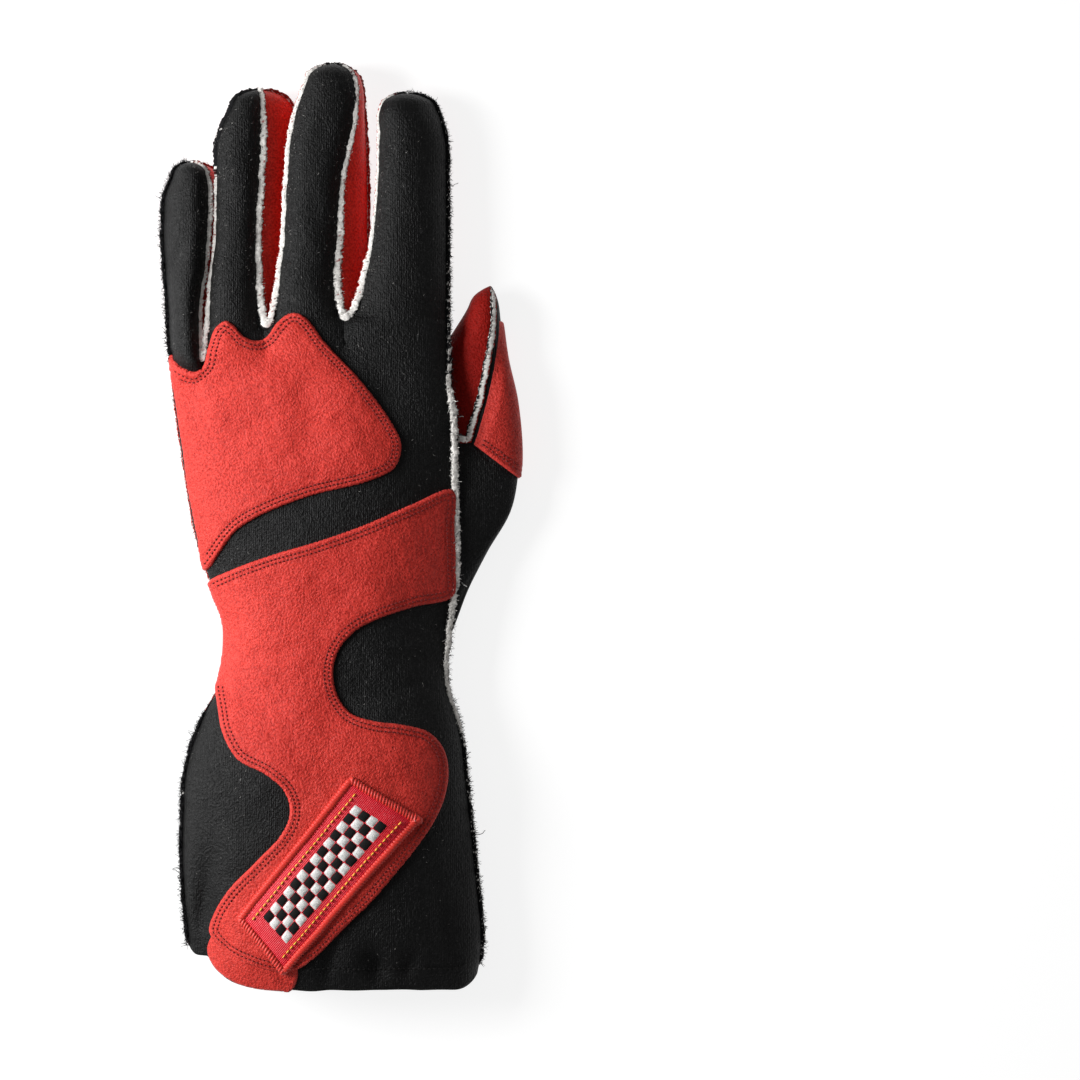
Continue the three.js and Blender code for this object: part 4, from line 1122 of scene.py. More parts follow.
@dataclass
class Overlay:
    """A layer of suede cut to an outline in plan, stitched down along its free edges.

    Attributes:
        name: the piece's name.
        node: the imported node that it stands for.
        skin: what it lies on.
        controls: the outline's control points, each with 1 where the edge after it is free.
        finish: its material.
        slot: the record's material slot.
        flat: width and length of the cut, in metres.
        area: flat area of the cut, in square metres.
        step: size of its mesh.
        thickness: height of its top over the skin.
        rows: distances of the stitch rows from the free edge.
        groove: depth of the groove under a stitch row.
        seed: which unevenness it has.
        quilt: control points of the stitch lines across it.
        skirt: how far its cut edge reaches down, more than 1 where it wraps over a hem.
        waves: depth and wavelength of its unevenness.
    """

    name: str
    node: str
    skin: Skin
    controls: tuple
    finish: bpy.types.Material
    slot: str
    flat: tuple
    area: float
    step: float = 0.55
    thickness: float = 1.5
    rows: tuple = STITCH_ROWS
    groove: float = 0.22
    seed: int = 1
    quilt: tuple = ()
    skirt: float = 0.5
    waves: tuple = ((0.05, 5), (0.12, 17))

    def build(self) -> None:
        self.outline, self.free = smooth_loop(np.array(self.controls, float), 0.9)
        low, high = self.outline.min(0) - 2 * self.step, self.outline.max(0) + 2 * self.step
        x, y = np.meshgrid(np.arange(low[0], high[0], self.step),
                           np.arange(low[1], high[1], self.step))
        plan = np.stack([x.ravel(), y.ravel()], axis=-1)
        gap, near = distance_to(plan, self.outline)
        at_edge = gap < 0.5 * self.step
        keep = inside(plan, self.outline) | at_edge
        plan, gap = np.where(at_edge[:, None], near, plan), np.where(at_edge, 0, gap)
        quads = grid_quads(x.shape)
        quads = quads[keep[quads].all(1)]
        quads = quads[inside(plan[quads].mean(1), self.outline)]
        used, inverse = np.unique(quads, return_inverse=True)
        quads, plan, gap = inverse.reshape(-1, 4), plan[used], gap[used]
        free_gap, _ = distance_to(plan, self.outline, self.free)
        height, groove = self.profile(plan, gap, free_gap)
        places, normals = self.skin.look_up(plan)
        if self.skirt > 1:
            past = np.linalg.norm(places[:, :2] - plan, axis=1) > 0.02
            places[past, :2] = plan[past]
        top = places + normals * height[:, None]
        if self.skin.up < 0:
            top[:, 2] = np.maximum(top[:, 2], LAYER_FLOOR)
            quads = quads[:, ::-1]
        rim = rim_edges(quads.tolist())
        border = sorted({a for a, _ in rim})
        lower = {a: len(top) + k for k, a in enumerate(border)}
        skirt = places[border] - normals[border] * self.skirt
        skirt[:, 2] = np.maximum(skirt[:, 2], LAYER_FLOOR)
        faces = quads.tolist() + [[b, a, lower[a], lower[b]] for a, b in rim]
        # Share of the cut rim at each point; its paler colour is partly a painted highlight on the
        # rolled edge.
        edge = np.exp(-(gap / RIM_WIDTH) ** 2)
        # The groove values also darken the colour there, as painted shade.
        piece = link(self.name, np.concatenate([top, skirt]), faces, [self.finish], self.slot,
                     (self.node,), rim=np.concatenate([edge, np.ones(len(border))]),
                     groove=np.concatenate([groove, np.zeros(len(border))]))

    def profile(self, plan: np.ndarray, gap: np.ndarray, free_gap: np.ndarray) -> tuple:
        """Shape of the layer's top.

        Args:
            plan: X and Y of its points.
            gap: distance of each from the outline.
            free_gap: distance of each from the outline's free stretches.

        Returns:
            The height over the skin and the depth share of the stitch grooves at each point.
        """
        edge = np.clip(gap / EDGE_ROLL, 0, 1)
        height = self.thickness * (0.45 + 0.55 * np.sqrt(1 - (1 - edge) ** 2))
        groove = np.zeros(len(plan))
        for row in self.rows:
            groove += np.exp(-((free_gap - row) / GROOVE_WIDTH) ** 2)
        for line in self.quilt:
            path = smooth_line(line)
            far, _ = distance_to(plan, path, slice(-1))
            groove += QUILT_DEPTH * np.exp(-(far / QUILT_WIDTH) ** 2)
        height = height - self.groove * groove
        for k, (depth, wavelength) in enumerate(self.waves):
            height += depth * crumple(plan[:, 0], plan[:, 1], self.seed + k, wavelength)
        return height, groove

    def stitch_lines(self) -> list:
        """Lines of the stitch rows in plan.

        Returns:
            Open runs of points, first those along the free edges and then the quilted ones.
        """
        ahead = np.roll(self.outline, -1, axis=0) - np.roll(self.outline, 1, axis=0)
        normal = unit(np.stack([-ahead[:, 1], ahead[:, 0]], axis=-1))
        if not inside(self.outline[:1] + normal[:1] * 0.3, self.outline)[0]:
            normal = -normal
        runs = []
        for row in self.rows:
            line = self.outline + normal * row
            gap, _ = distance_to(line, self.outline)
            good = self.free & (gap > row - 0.25)
            if not good.any():
                continue
            shift = 0 if good.all() else int(np.argmin(good)) + 1
            order = np.roll(np.arange(len(line)), -shift)
            run = []
            for i in order:
                if good[i]:
                    if run and np.linalg.norm(line[i] - run[-1]) > 4:
                        runs.append(np.array(run))
                        run = []
                    run.append(line[i])
                elif len(run) and not self.free[i]:
                    runs.append(np.array(run))
                    run = []
            if len(run) > 3:
                runs.append(np.array(run))
        return [run for run in runs if len(run) > 3] + [smooth_line(line) for line in self.quilt]


def stitches(name: str, skin: Skin, lines: list, finish: bpy.types.Material, lift: float,
             length: float = 0.8, pitch: float = 1.45, width: float = 0.56,
             slot: str = "red_suede") -> None:
    """Rows of thread stitches that lie over a skin.

    Args:
        name: the piece's name.
        skin: what they lie on.
        lines: runs of points in plan.
        finish: the thread's material.
        lift: height of the stitches over the skin.
        length: length of a stitch.
        pitch: distance from one stitch to the next.
        width: thickness of the thread.
        slot: the record's material slot.
    """
    rise, girth = np.array((-0.35, 0.1, 0.24, 0.1, -0.35)), np.array((0.55, 0.95, 1, 0.95, 0.55))
    steps, around, rise_width, starts = len(rise), 6, 0.42, []
    for line in lines:
        size = run_length(line)
        for at in np.arange(pitch / 2, size[-1] - length, pitch):
            spots = at + length * np.linspace(0, 1, steps)
            starts.append(np.stack([np.interp(spots, size, line[:, k]) for k in (0, 1)], axis=-1))
    plan = np.array(starts)
    heights = np.tile(lift + rise * (width / rise_width), (len(plan), 1))
    middle = skin.lay(plan.reshape(-1, 2), heights.ravel()).reshape(len(plan), steps, 3)
    if skin.up < 0:
        middle[..., 2] = np.maximum(middle[..., 2], MIDDLE_FLOOR)
    along = unit(np.gradient(middle, axis=1))
    side = unit(np.cross(along, np.array((0, 0, 1.0))))
    up = np.cross(side, along)
    thick = width / 2 * girth
    rings = [middle + (side * math.cos(angle) + up * math.sin(angle)) * thick[:, None]
             for angle in np.arange(around) / around * 2 * math.pi]
    points = np.stack(rings, axis=2).reshape(-1, 3)
    points[:, 2] = np.maximum(points[:, 2], THREAD_FLOOR)
    index = np.arange(len(points)).reshape(-1, steps, around)
    link(name, points, [face for tube in index for face in tube_faces(tube)], [finish], slot)


def threads(name: str, paths: list, radius: float, finish: bpy.types.Material,
            slot: str) -> None:
    """Round threads along paths, as one piece.

    Args:
        name: the piece's name.
        paths: points along the middle of each.
        radius: half their thickness.
        finish: the thread's material.
        slot: the record's material slot.
    """
    points, faces, start, around = [], [], 0, 5
    turn = np.arange(around) / around * 2 * math.pi
    for path in paths:
        along = unit(np.gradient(path, axis=0))
        side = unit(np.cross(along, np.array((0.1, 0.2, 1.0))))
        up = np.cross(side, along)
        ring = path[:, None] + radius * (side[:, None] * np.cos(turn)[:, None]
                                         + up[:, None] * np.sin(turn)[:, None])
        faces += tube_faces(np.arange(len(path) * around).reshape(-1, around) + start)
        points.append(ring.reshape(-1, 3))
        start += len(path) * around
    points = np.concatenate(points)
    points[:, 2] = np.maximum(points[:, 2], THREAD_FLOOR)
    link(name, points, faces, [finish], slot)


def curl(start: tuple, heading: float, length: float, turns: float, seed: int) -> np.ndarray:
    """Path of a loose thread end.

    Args:
        start: where it comes out of the seam.
        heading: its direction in plan at first, in degrees.
        length: its length.
        turns: how strongly it curls.
        seed: which curl it is.

    Returns:
        The path's points.
    """
    at = np.linspace(0, length, max(8, int(length / 0.25)))
    way = math.radians(heading) + turns * wobble(at, seed, 7, 3) + turns * 0.12 * at
    step = np.gradient(at)[:, None] * np.stack(
        [np.cos(way), np.sin(way), 0.5 * np.sin(at / 1.7 + seed)], axis=-1)
    return np.array(start) + np.cumsum(step, axis=0)


@dataclass
class RawSeam:
    """The frayed edges of two layers that stand out along a seam.

    Attributes:
        name: the piece's name.
        path: points of the seam.
        outwards: direction in which the edges stand out, at each point.
        nodes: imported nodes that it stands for.
        width: thickness of the edges together.
        height: how far they stand out.
        lift: how far the seam lies under them.
        size: share of both at each point, or one number.
        pale: share of white at each point, or one number.
        first: colour on the side of the seam's left hand, seen along the path from outside.
        last: colour on the other side.
        band: shares of the width between which the edge is white.
        fibres: loose fibres per millimetre.
        dark_fibres: share of them that is black.
        fibre_length: their usual length.
        seed: which unevenness it has.
        rough: how uneven the band is.
        per: points round the band.
        spacing: distance between two rings of them.
    """

    name: str
    path: np.ndarray
    outwards: np.ndarray
    nodes: tuple = ()
    width: float = 2.0
    height: float = 1.5
    lift: float = 0.3
    size: object = 1.0
    pale: object = 1.0
    first: tuple = BLACK
    last: tuple = RED
    band: tuple = (0.14, 0.93)
    fibres: float = 9.0
    dark_fibres: float = 0.6
    fibre_length: float = 0.9
    seed: int = 1
    rough: float = 1.0
    per: int = 18
    spacing: float = 0.42

    def build(self, finish: bpy.types.Material) -> None:
        """Makes the band and its fibres as one mesh.

        Args:
            finish: their material.
        """
        shares = [np.full(len(self.path), share, float) for share in (self.pale, self.size)]
        whole = np.column_stack([self.path, self.outwards, *shares])
        length = run_length(self.path)
        at = np.arange(0, length[-1], self.spacing)
        whole = np.stack([np.interp(at, length, whole[:, k]) for k in range(8)], axis=-1)
        self.at, self.middle, out = at, whole[:, :3], unit(whole[:, 3:6])
        self.white, self.share = whole[:, 6], whole[:, 7]
        self.along = unit(np.gradient(self.middle, axis=0))
        self.out = unit(out - self.along * (out * self.along).sum(1, keepdims=True))
        self.side = np.cross(self.out, self.along)
        points, tint = self.band_points()
        index = np.arange(len(at) * self.per).reshape(-1, self.per)
        hair, hair_tint, hair_faces = self.loose()
        points = np.concatenate([points.reshape(-1, 3), hair])
        points[:, 2] = np.maximum(points[:, 2], SEAM_FLOOR)
        faces = tube_faces(index) + (hair_faces + index.size).tolist()
        link(self.name, points, faces, [finish], "raw_edge", self.nodes,
             tint=np.concatenate([tint.reshape(-1, 4), hair_tint]))

    def band_points(self) -> tuple:
        """Shapes and colours the band.

        Returns:
            Its rings of points and their colours.
        """
        rng = np.random.default_rng(self.seed)
        at, pale, per, count = self.at, self.white, self.per, len(self.at)
        taper = smoothstep(0, 3, at) * smoothstep(0, 3, at[-1] - at)
        width = self.width * (1 + 0.16 * wobble(at, self.seed, 9)
                              + 0.14 * wobble(at, self.seed + 7, 2.2))
        height = self.height * (1 + 0.2 * wobble(at, self.seed + 1, 12)) * (0.35 + 0.65 * taper)
        width, height = width * self.share, height * self.share
        shift = 0.25 * wobble(at, self.seed + 2, 14)
        angle = 2 * math.pi * (np.arange(per) + 0.5) / per
        across = np.sign(np.cos(angle)) * np.abs(np.cos(angle)) ** 0.7
        tall = np.sign(np.sin(angle)) * np.abs(np.sin(angle)) ** 0.7
        lump = rng.standard_normal((count, per))
        lump = 1 + 0.3 * self.rough * (lump + np.roll(lump, 1, 0) + np.roll(lump, 1, 1)) / 3
        sideways = (shift[:, None] + width[:, None] / 2 * across * lump)[..., None]
        upwards = (self.lift + height[:, None] * (0.5 + 0.5 * tall * lump))[..., None]
        points = self.middle[:, None] + self.side[:, None] * sideways + self.out[:, None] * upwards
        place = 0.5 + 0.5 * across[None] + 0.05 * self.rough * rng.standard_normal((count, per))
        speck = rng.random((count, per)) < 0.03 * self.rough
        low, high = self.band
        middle = (place > low) & (place < high) & ~speck
        white = middle & (wobble(at, self.seed + 4, 6)[:, None] * 0.35 + 0.5 < pale[:, None] + 0.08)
        white |= (rng.random((count, per)) < 0.12 * pale[:, None]) & (place > 0.05)
        outer = lerp(np.array(BLACK), np.array(self.last),
                     smoothstep(0.3, 0.8, pale)[:, None, None])
        tint = np.where(white[..., None], np.array(WHITE),
                        np.where((place < 0.5)[..., None], np.array(self.first), outer))
        shade = 1 - 0.22 * rng.random((count, per, 1))
        tint = tint * np.concatenate([np.repeat(shade, 3, axis=2), np.ones_like(shade)], axis=2)
        return points, tint

    def loose(self) -> tuple:
        """Shapes and colours the loose fibres of the cut edges.

        Returns:
            Their points, colours and faces.
        """
        rng = np.random.default_rng(self.seed + 50)
        count = int(self.fibres * self.at[-1])
        pick = rng.integers(1, len(self.at) - 1, count)
        middle, out, side, along, share = (
            row[pick] for row in (self.middle, self.out, self.side, self.along, self.share))
        mostly_dark = np.clip(self.dark_fibres + (1 - self.white[pick]) * 0.5, 0, 0.992)
        dark = rng.random(count) < mostly_dark
        place = np.where(dark, rng.normal(-0.5, 0.35, count), rng.normal(0.15, 0.3, count))
        rise = self.lift + self.height * share * rng.uniform(0.3, 0.95, count)
        base = middle + side * (place * self.width * share / 2)[:, None] + out * rise[:, None]
        way = (out * rng.uniform(0.1, 0.9, (count, 1))
               + side * (np.sign(place) * rng.uniform(0.1, 1.1, count))[:, None]
               + along * rng.normal(0, 0.6, (count, 1)))
        way, bend = unit(way), unit(rng.normal(0, 1, (count, 3)))
        size = self.fibre_length * np.minimum(share, 1) * rng.uniform(0.35, 1.25, count)
        size = size[:, None]
        thick = 0.11 * np.where(dark, 1.1, 0.9)[:, None]
        flat, steps = unit(np.cross(way, bend)), (0, 0.4, 0.75, 1)
        points, faces = blades([base + way * size * t + bend * size * 0.7 * t * t for t in steps],
                               [flat * thick * (1 - 0.5 * t) for t in steps])
        tint = np.where(dark[:, None], np.array(BLACK),
                        np.array(WHITE) * rng.uniform(0.8, 1.1, (count, 1)))
        return points, np.repeat(tint, 8, axis=0), faces


class Tree:
    """Short ways to add and join a material's nodes."""

    def __init__(self, name: str) -> None:
        """Starts a material with one principled shader.

        Args:
            name: the material's name.
        """
        self.material = bpy.data.materials.new(name)
        self.material.use_nodes = True
        self.nodes, self.links = self.material.node_tree.nodes, self.material.node_tree.links
        self.shader = self.nodes["Principled BSDF"]
        self.place = self.nodes.new("ShaderNodeTexCoord").outputs["Object"]

    def add(self, kind: str, *sources: object, out: object = 0, **values: object) -> object:
        """Adds a node.

        Args:
            kind: its type, without the ShaderNode in front.
            sources: what its sockets take in order, a socket or a plain value, None to skip.
            out: name or number of the output that is returned.
            values: properties to set on the node.

        Returns:
            The chosen output socket.
        """
        node = self.nodes.new("ShaderNode" + kind)
        for key, value in values.items():
            setattr(node, key, value)
        sockets = [s for s in node.inputs if s.enabled]
        for socket, source in zip(sockets, sources):
            self.feed(socket, source)
        return node.outputs[out] if out != 0 else [s for s in node.outputs if s.enabled][0]

    def feed(self, socket: object, source: object) -> None:
        """Joins a socket to an output, or sets its plain value.

        Args:
            socket: the socket.
            source: an output, a plain value, or None to leave the socket as it is.
        """
        if source is None:
            return
        if isinstance(source, bpy.types.NodeSocket):
            self.links.new(source, socket)
        elif isinstance(source, (tuple, list)) and len(source) == 3 and socket.type == "RGBA":
            socket.default_value = (*source, 1)
        else:
            socket.default_value = source

    def noise(self, scale: float, detail: float = 4, rough: float = 0.6,
              place: object = None) -> object:
        """Adds a noise texture.

        Args:
            scale: its waves per metre.
            detail: number of finer waves.
            rough: their strength.
            place: coordinates to use in place of the object's own.

        Returns:
            The noise, 0 to 1.
        """
        node = self.nodes.new("ShaderNodeTexNoise")
        self.links.new(place or self.place, node.inputs["Vector"])
        for key, value in (("Scale", scale), ("Detail", detail), ("Roughness", rough)):
            node.inputs[key].default_value = value
        return node.outputs["Fac"]

    def ramp(self, source: object, low: float, high: float) -> object:
        """Spreads low to high over 0 to 1 and cuts off the rest."""
        return self.add("MapRange", source, low, high, 0.0, 1.0)

    def mix(self, share: object, a: object, b: object, mode: str = "MIX") -> object:
        """Mixes two colours.

        Args:
            share: share of the second.
            a: the first.
            b: the second.
            mode: how they are mixed.

        Returns:
            The mixed colour.
        """
        node = self.nodes.new("ShaderNodeMix")
        node.data_type, node.blend_type = "RGBA", mode
        for key, source in (("Factor", share), ("A", a), ("B", b)):
            self.feed(node.inputs[key], source)
        return node.outputs["Result"]

    def times(self, a: object, b: object) -> object:
        """Product of two numbers."""
        return self.add("Math", a, b, operation="MULTIPLY")

    def plus(self, a: object, b: object) -> object:
        """Sum of two numbers."""
        return self.add("Math", a, b, operation="ADD")

    def value(self, name: str) -> object:
        """The number stored with each vertex under that name."""
        return self.add("Attribute", out="Fac", attribute_name=name)

    def scaled(self, x: float, y: float, z: float) -> object:
        """Object coordinates stretched along each axis."""
        return self.add("Mapping", self.place, None, None, (x, y, z))

    def bump(self, height: object, distance: float, strength: float = 1,
             below: object = None) -> object:
        """Adds a bump.

        Args:
            height: the height it is made from.
            distance: the height's real size, in metres.
            strength: share of it that shows.
            below: another bump that it lies on.

        Returns:
            The bumpy normal.
        """
        node = self.nodes.new("ShaderNodeBump")
        for key, source in (("Strength", strength), ("Distance", distance), ("Height", height),
                            ("Normal", below)):
            self.feed(node.inputs[key], source)
        return node.outputs["Normal"]

    def finish(self, colour: object, normal: object = None, roughness: object = 0.8,
               sheen: float = 0, sheen_tint: tuple = (1, 1, 1), sheen_roughness: float = 0.4,
               specular: float = 0.3) -> bpy.types.Material:
        """Joins colour, normal and roughness to the shader and sets its constants.

        Args:
            colour: the base colour.
            normal: the normal, None for the plain one.
            roughness: a number or an output.
            sheen: strength of the sheen.
            sheen_tint: its colour.
            sheen_roughness: its roughness.
            specular: strength of the gloss.

        Returns:
            The finished material.
        """
        for key, source in (
                ("Base Color", colour), ("Roughness", roughness), ("Normal", normal),
                ("Sheen Weight", sheen), ("Sheen Roughness", sheen_roughness),
                ("Sheen Tint", sheen_tint), ("Specular IOR Level", specular)):
            self.feed(self.shader.inputs[key], source)
        return self.material


@dataclass(frozen=True)
class KnitFinish:
    """Black ribbed knit with fine wales and a little lint."""

    name: str = "black_knit"
    dark: tuple = (0.0010, 0.0010, 0.0010)
    light: tuple = (0.0030, 0.0030, 0.0031)
    lint: tuple = (0.20, 0.20, 0.21)
    sheen: float = 0.0

    def material(self) -> bpy.types.Material:
        """Builds the material.

        Returns:
            The new material.
        """
        t = Tree(self.name)
        wale = t.add("TexWave", t.scaled(1, 0.12, 1), 470.0, 3.5, 2.0, 1.5, 0.5,
                     wave_type="BANDS", bands_direction="X")
        slant = t.add("Mapping", t.place, None, (0, 0, math.radians(32)), (1250, 640, 900))
        streak = t.noise(1, 3, 0.6, slant)
        grain = t.noise(1250, 2, 0.6)
        cloud = t.ramp(t.noise(34, 3, 0.55), 0.32, 0.7)
        knit = t.plus(t.times(wale, 0.15), t.times(streak, 0.85))
        weave = t.ramp(t.plus(t.times(knit, 0.55), t.times(grain, 0.45)), 0.40, 0.62)
        base = t.mix(t.times(weave, t.plus(cloud, 0.35)), self.dark, self.light)
        specks = t.ramp(t.noise(1150, 2, 0.55), 0.70, 0.75)
        patches = t.ramp(t.noise(60, 3, 0.6), 0.42, 0.62)
        colour = t.mix(t.times(specks, t.times(patches, 0.32)), base, self.lint)
        normal = t.bump(knit, 0.0005, 0.8, t.bump(grain, 0.0005, 1.0))
        gloss = t.add("MapRange", weave, 0.0, 1.0, 0.60, 0.40)
        return t.finish(colour, normal, gloss, self.sheen, (0.8, 0.82, 0.86), 0.35, 0.16)


@dataclass(frozen=True)
class SuedeFinish:
    """Brushed suede with mottled nap, a paler cut rim that also carries a painted highlight, and
    stitch grooves darkened with painted shade.
    """

    name: str
    dark: tuple
    light: tuple
    rim: tuple
    groove: tuple
    sheen: float = 0.03
    sheen_tint: tuple = (1, 0.7, 0.66)
    nap: float = 1.0
    lint: float = 0.0
    specular: float = 0.16

    def material(self) -> bpy.types.Material:
        """Builds the material.

        Returns:
            The new material.
        """
        t = Tree(self.name)
        fine = t.noise(1250, 2, 0.65)
        coarse = t.noise(430, 4, 0.62, t.scaled(1, 0.75, 1))
        cloud = t.noise(42, 4, 0.6)
        nap = t.plus(t.times(fine, 0.86), t.times(coarse, 0.14))
        both = t.plus(t.times(t.ramp(nap, 0.34, 0.60), 0.8),
                      t.times(t.ramp(cloud, 0.3, 0.72), 0.2))
        colour = t.mix(both, self.dark, self.light)
        # Painted shade: the colour darkens where the stitch grooves sink in.
        colour = t.mix(t.times(t.value("groove"), 0.3), colour, self.groove)
        # Paler cut rim, partly a painted highlight along the rolled edge.
        colour = t.mix(t.times(t.value("rim"), 0.55), colour, self.rim)
        if self.lint:
            specks = t.ramp(t.noise(800, 2, 0.5), 0.72, 0.76)
            colour = t.mix(t.times(specks, self.lint), colour, (0.4, 0.4, 0.4))
        normal = t.bump(coarse, 0.0003 * self.nap, 0.3, t.bump(fine, 0.0006 * self.nap, 1.0))
        return t.finish(colour, normal, 0.45, self.sheen, self.sheen_tint, 0.45, self.specular)


@dataclass(frozen=True)
class FibreFinish:
    """Raw cloth edge and loose fibres, in the colour stored with each vertex."""

    name: str = "raw_edge_fibre"

    def material(self) -> bpy.types.Material:
        """Builds the material.

        Returns:
            The new material.
        """
        t = Tree(self.name)
        tint = t.add("Attribute", out="Color", attribute_name="tint")
        grain = t.noise(1400, 3, 0.7)
        shade = t.mix(t.ramp(grain, 0.3, 0.6), (0.74, 0.74, 0.74), (1.0, 1.0, 1.0))
        return t.finish(t.mix(1.0, tint, shade, "MULTIPLY"), t.bump(grain, 0.0004, 0.8), 0.9,
                        specular=0.12)


@dataclass(frozen=True)
class ThreadFinish:
    """Twisted sewing thread."""

    name: str
    colour: tuple
    shine: float = 0.5
    sheen: float = 0.2

    def material(self) -> bpy.types.Material:
        """Builds the material.

        Returns:
            The new material.
        """
        t = Tree(self.name)
        twist = t.noise(2600, 2, 0.5)
        dark = tuple(c * 0.6 for c in self.colour)
        colour = t.mix(t.ramp(twist, 0.35, 0.65), dark, self.colour)
        return t.finish(colour, t.bump(twist, 0.0001, 0.5), 0.9 - 0.5 * self.shine, self.sheen,
                        (1, 0.8, 0.7), 0.4, 2 * self.sheen)


@dataclass(frozen=True)
class LiningFinish:
    """Grey looped fleece inside the glove."""

    name: str = "lining_fleece"

    def material(self) -> bpy.types.Material:
        """Builds the material.

        Returns:
            The new material.
        """
        t = Tree(self.name)
        fluff = t.noise(520, 5, 0.7)
        loops = t.add("TexWave", t.scaled(1, 0.1, 1), 260.0, 4.0, 2.0, 1.5, 0.5,
                      wave_type="BANDS", bands_direction="X")
        cloud = t.ramp(t.noise(48, 3, 0.6), 0.3, 0.7)
        both = t.plus(t.times(t.ramp(fluff, 0.36, 0.64), 0.6),
                      t.plus(t.times(loops, 0.2), t.times(cloud, 0.2)))
        colour = t.mix(both, (0.30, 0.29, 0.27), (0.66, 0.65, 0.62))
        return t.finish(colour, t.bump(loops, 0.0005, 0.5, t.bump(fluff, 0.0011, 1.0)), 0.95,
                        specular=0.1)


@dataclass(frozen=True)
class SatinFinish:
    """Shiny woven ground of the patch, with slanting thread."""

    name: str = "patch_satin"

    def material(self) -> bpy.types.Material:
        """Builds the material.

        Returns:
            The new material.
        """
        t = Tree(self.name)
        slant = t.add("Mapping", t.place, None, (0, 0, math.radians(41)), (1, 1, 1))
        rows = t.add("TexWave", slant, 520.0, 1.2, 2.0, 1.5, 0.5,
                     wave_type="BANDS", bands_direction="X")
        glint = t.ramp(t.noise(1500, 2, 0.6), 0.56, 0.7)
        base = t.mix(rows, (0.46, 0.003, 0.011), (0.74, 0.010, 0.030))
        colour = t.mix(t.times(glint, 0.6), base, (0.75, 0.12, 0.14))
        return t.finish(colour, t.bump(rows, 0.0002, 0.6), 0.5, 0.0, (1, 0.6, 0.6), 0.3, 0.3)


class Finishes:
    """The glove's materials, each made once."""

    def __init__(self) -> None:
        """Builds the materials."""
        self.knit = KnitFinish().material()
        self.lining = LiningFinish().material()
        self.red = SuedeFinish(
            "red_suede_overlay", (0.28, 0.009, 0.006), (0.59, 0.042, 0.030), (0.56, 0.05, 0.042),
            (0.26, 0.010, 0.008)).material()
        self.deep_red = SuedeFinish(
            "red_suede_palm", (0.17, 0.008, 0.005), (0.50, 0.034, 0.022), (0.5, 0.07, 0.06),
            (0.15, 0.006, 0.004)).material()
        # Darker copy of the palm suede for the thumb's palm side: painted shade for the hand's
        # shadow over it.
        self.thumb_red_shaded = SuedeFinish(
            "red_suede_thumb_shaded", (0.15, 0.004, 0.002), (0.28, 0.010, 0.007), (0.24, 0.014, 0.012),
            (0.1, 0.004, 0.003), sheen=0.0, specular=0.05).material()
        self.black = SuedeFinish(
            "black_suede", (0.004, 0.004, 0.004), (0.016, 0.0155, 0.0155), (0.02, 0.02, 0.02),
            (0.003, 0.003, 0.003), sheen_tint=(0.8, 0.8, 0.8), lint=0.3).material()
        self.fibre = FibreFinish().material()
        self.red_thread = ThreadFinish("red_thread", (0.20, 0.007, 0.007), 0.1).material()
        self.bright_thread = ThreadFinish("bright_red_thread", (0.66, 0.028, 0.016), 0.8).material()
        self.gold_thread = ThreadFinish("gold_thread", (0.95, 0.5, 0.05), 0.8).material()
        # Brighter copy of the palm suede for the gussets: painted light on strips that face away
        # from the key.
        self.gusset_red_lit = SuedeFinish(
            "red_suede_gusset_lit", (0.40, 0.013, 0.008), (0.82, 0.046, 0.030), (0.5, 0.05, 0.04),
            (0.2, 0.006, 0.004), nap=0.6).material()
        self.black_thread = ThreadFinish(
            "black_thread", (0.012, 0.012, 0.012), 0.2, 0.04).material()
        self.white_thread = ThreadFinish("white_thread", (0.75, 0.75, 0.73), 0.7).material()
        self.grey_thread = ThreadFinish("grey_thread", (0.05, 0.05, 0.05), 0.2, 0.1).material()
        self.satin = SatinFinish().material()


def gap_shares(path: np.ndarray, count: int, tables: tuple) -> tuple:
    """White and size along a seam that runs down one finger and up the next.

    Args:
        path: the seam's points, tip to crotch to tip.
        count: number of points on the first finger.
        tables: for each finger, rows of the share from crotch to tip, the white and the size.

    Returns:
        The white and the size at each point.
    """
    made = []
    for part, table in ((path[:count][::-1], tables[0]), (path[count - 1:], tables[1])):
        length = run_length(part)
        share, *shares = np.array(table).T
        made.append(np.stack([np.interp(length / length[-1], share, row) for row in shares]))
    both = np.concatenate([made[0][:, ::-1], made[1][:, 1:]], axis=1)
    return both[0], both[1]


def join_columns(hands: list) -> np.ndarray:
    """One grid from those of neighbouring fingers.

    Args:
        hands: a grid for each finger, its last column being the next one's first.

    Returns:
        The grid, with the shared columns averaged.
    """
    made = [hands[0][:, :1]]
    for i, hand in enumerate(hands):
        made.append(hand[:, 1:-1])
        shared = hand[:, -1:]
        if i + 1 < len(hands):
            shared = (shared + hands[i + 1][:, :1]) / 2
        made.append(shared)
    return np.concatenate(made, axis=1)


def soften(grid: np.ndarray, reach: int) -> np.ndarray:
    """The grid with the valleys between its knuckles rounded out.

    Args:
        grid: points of the back of the hand.
        reach: a third of the number of last rows that are rounded.

    Returns:
        The rounded grid.
    """
    made, columns, narrow, wide, rim = grid.copy(), np.arange(grid.shape[1]), 2.4, 7, 8
    for row in range(len(grid) - 3 * reach, len(grid)):
        last = len(grid) - 1 - row
        width = lerp(narrow, wide, smoothstep(0, reach, last))
        width *= 1 - smoothstep(2 * reach, 3 * reach, last)
        near = np.exp(-((columns[:, None] - columns) / max(width, 0.3)) ** 2)
        keep = smoothstep(0, rim, np.minimum(columns, columns[::-1]))
        smooth = near @ grid[row, :, 2] / near.sum(1)
        made[row, :, 2] = lerp(grid[row, :, 2], smooth, keep)
    return made


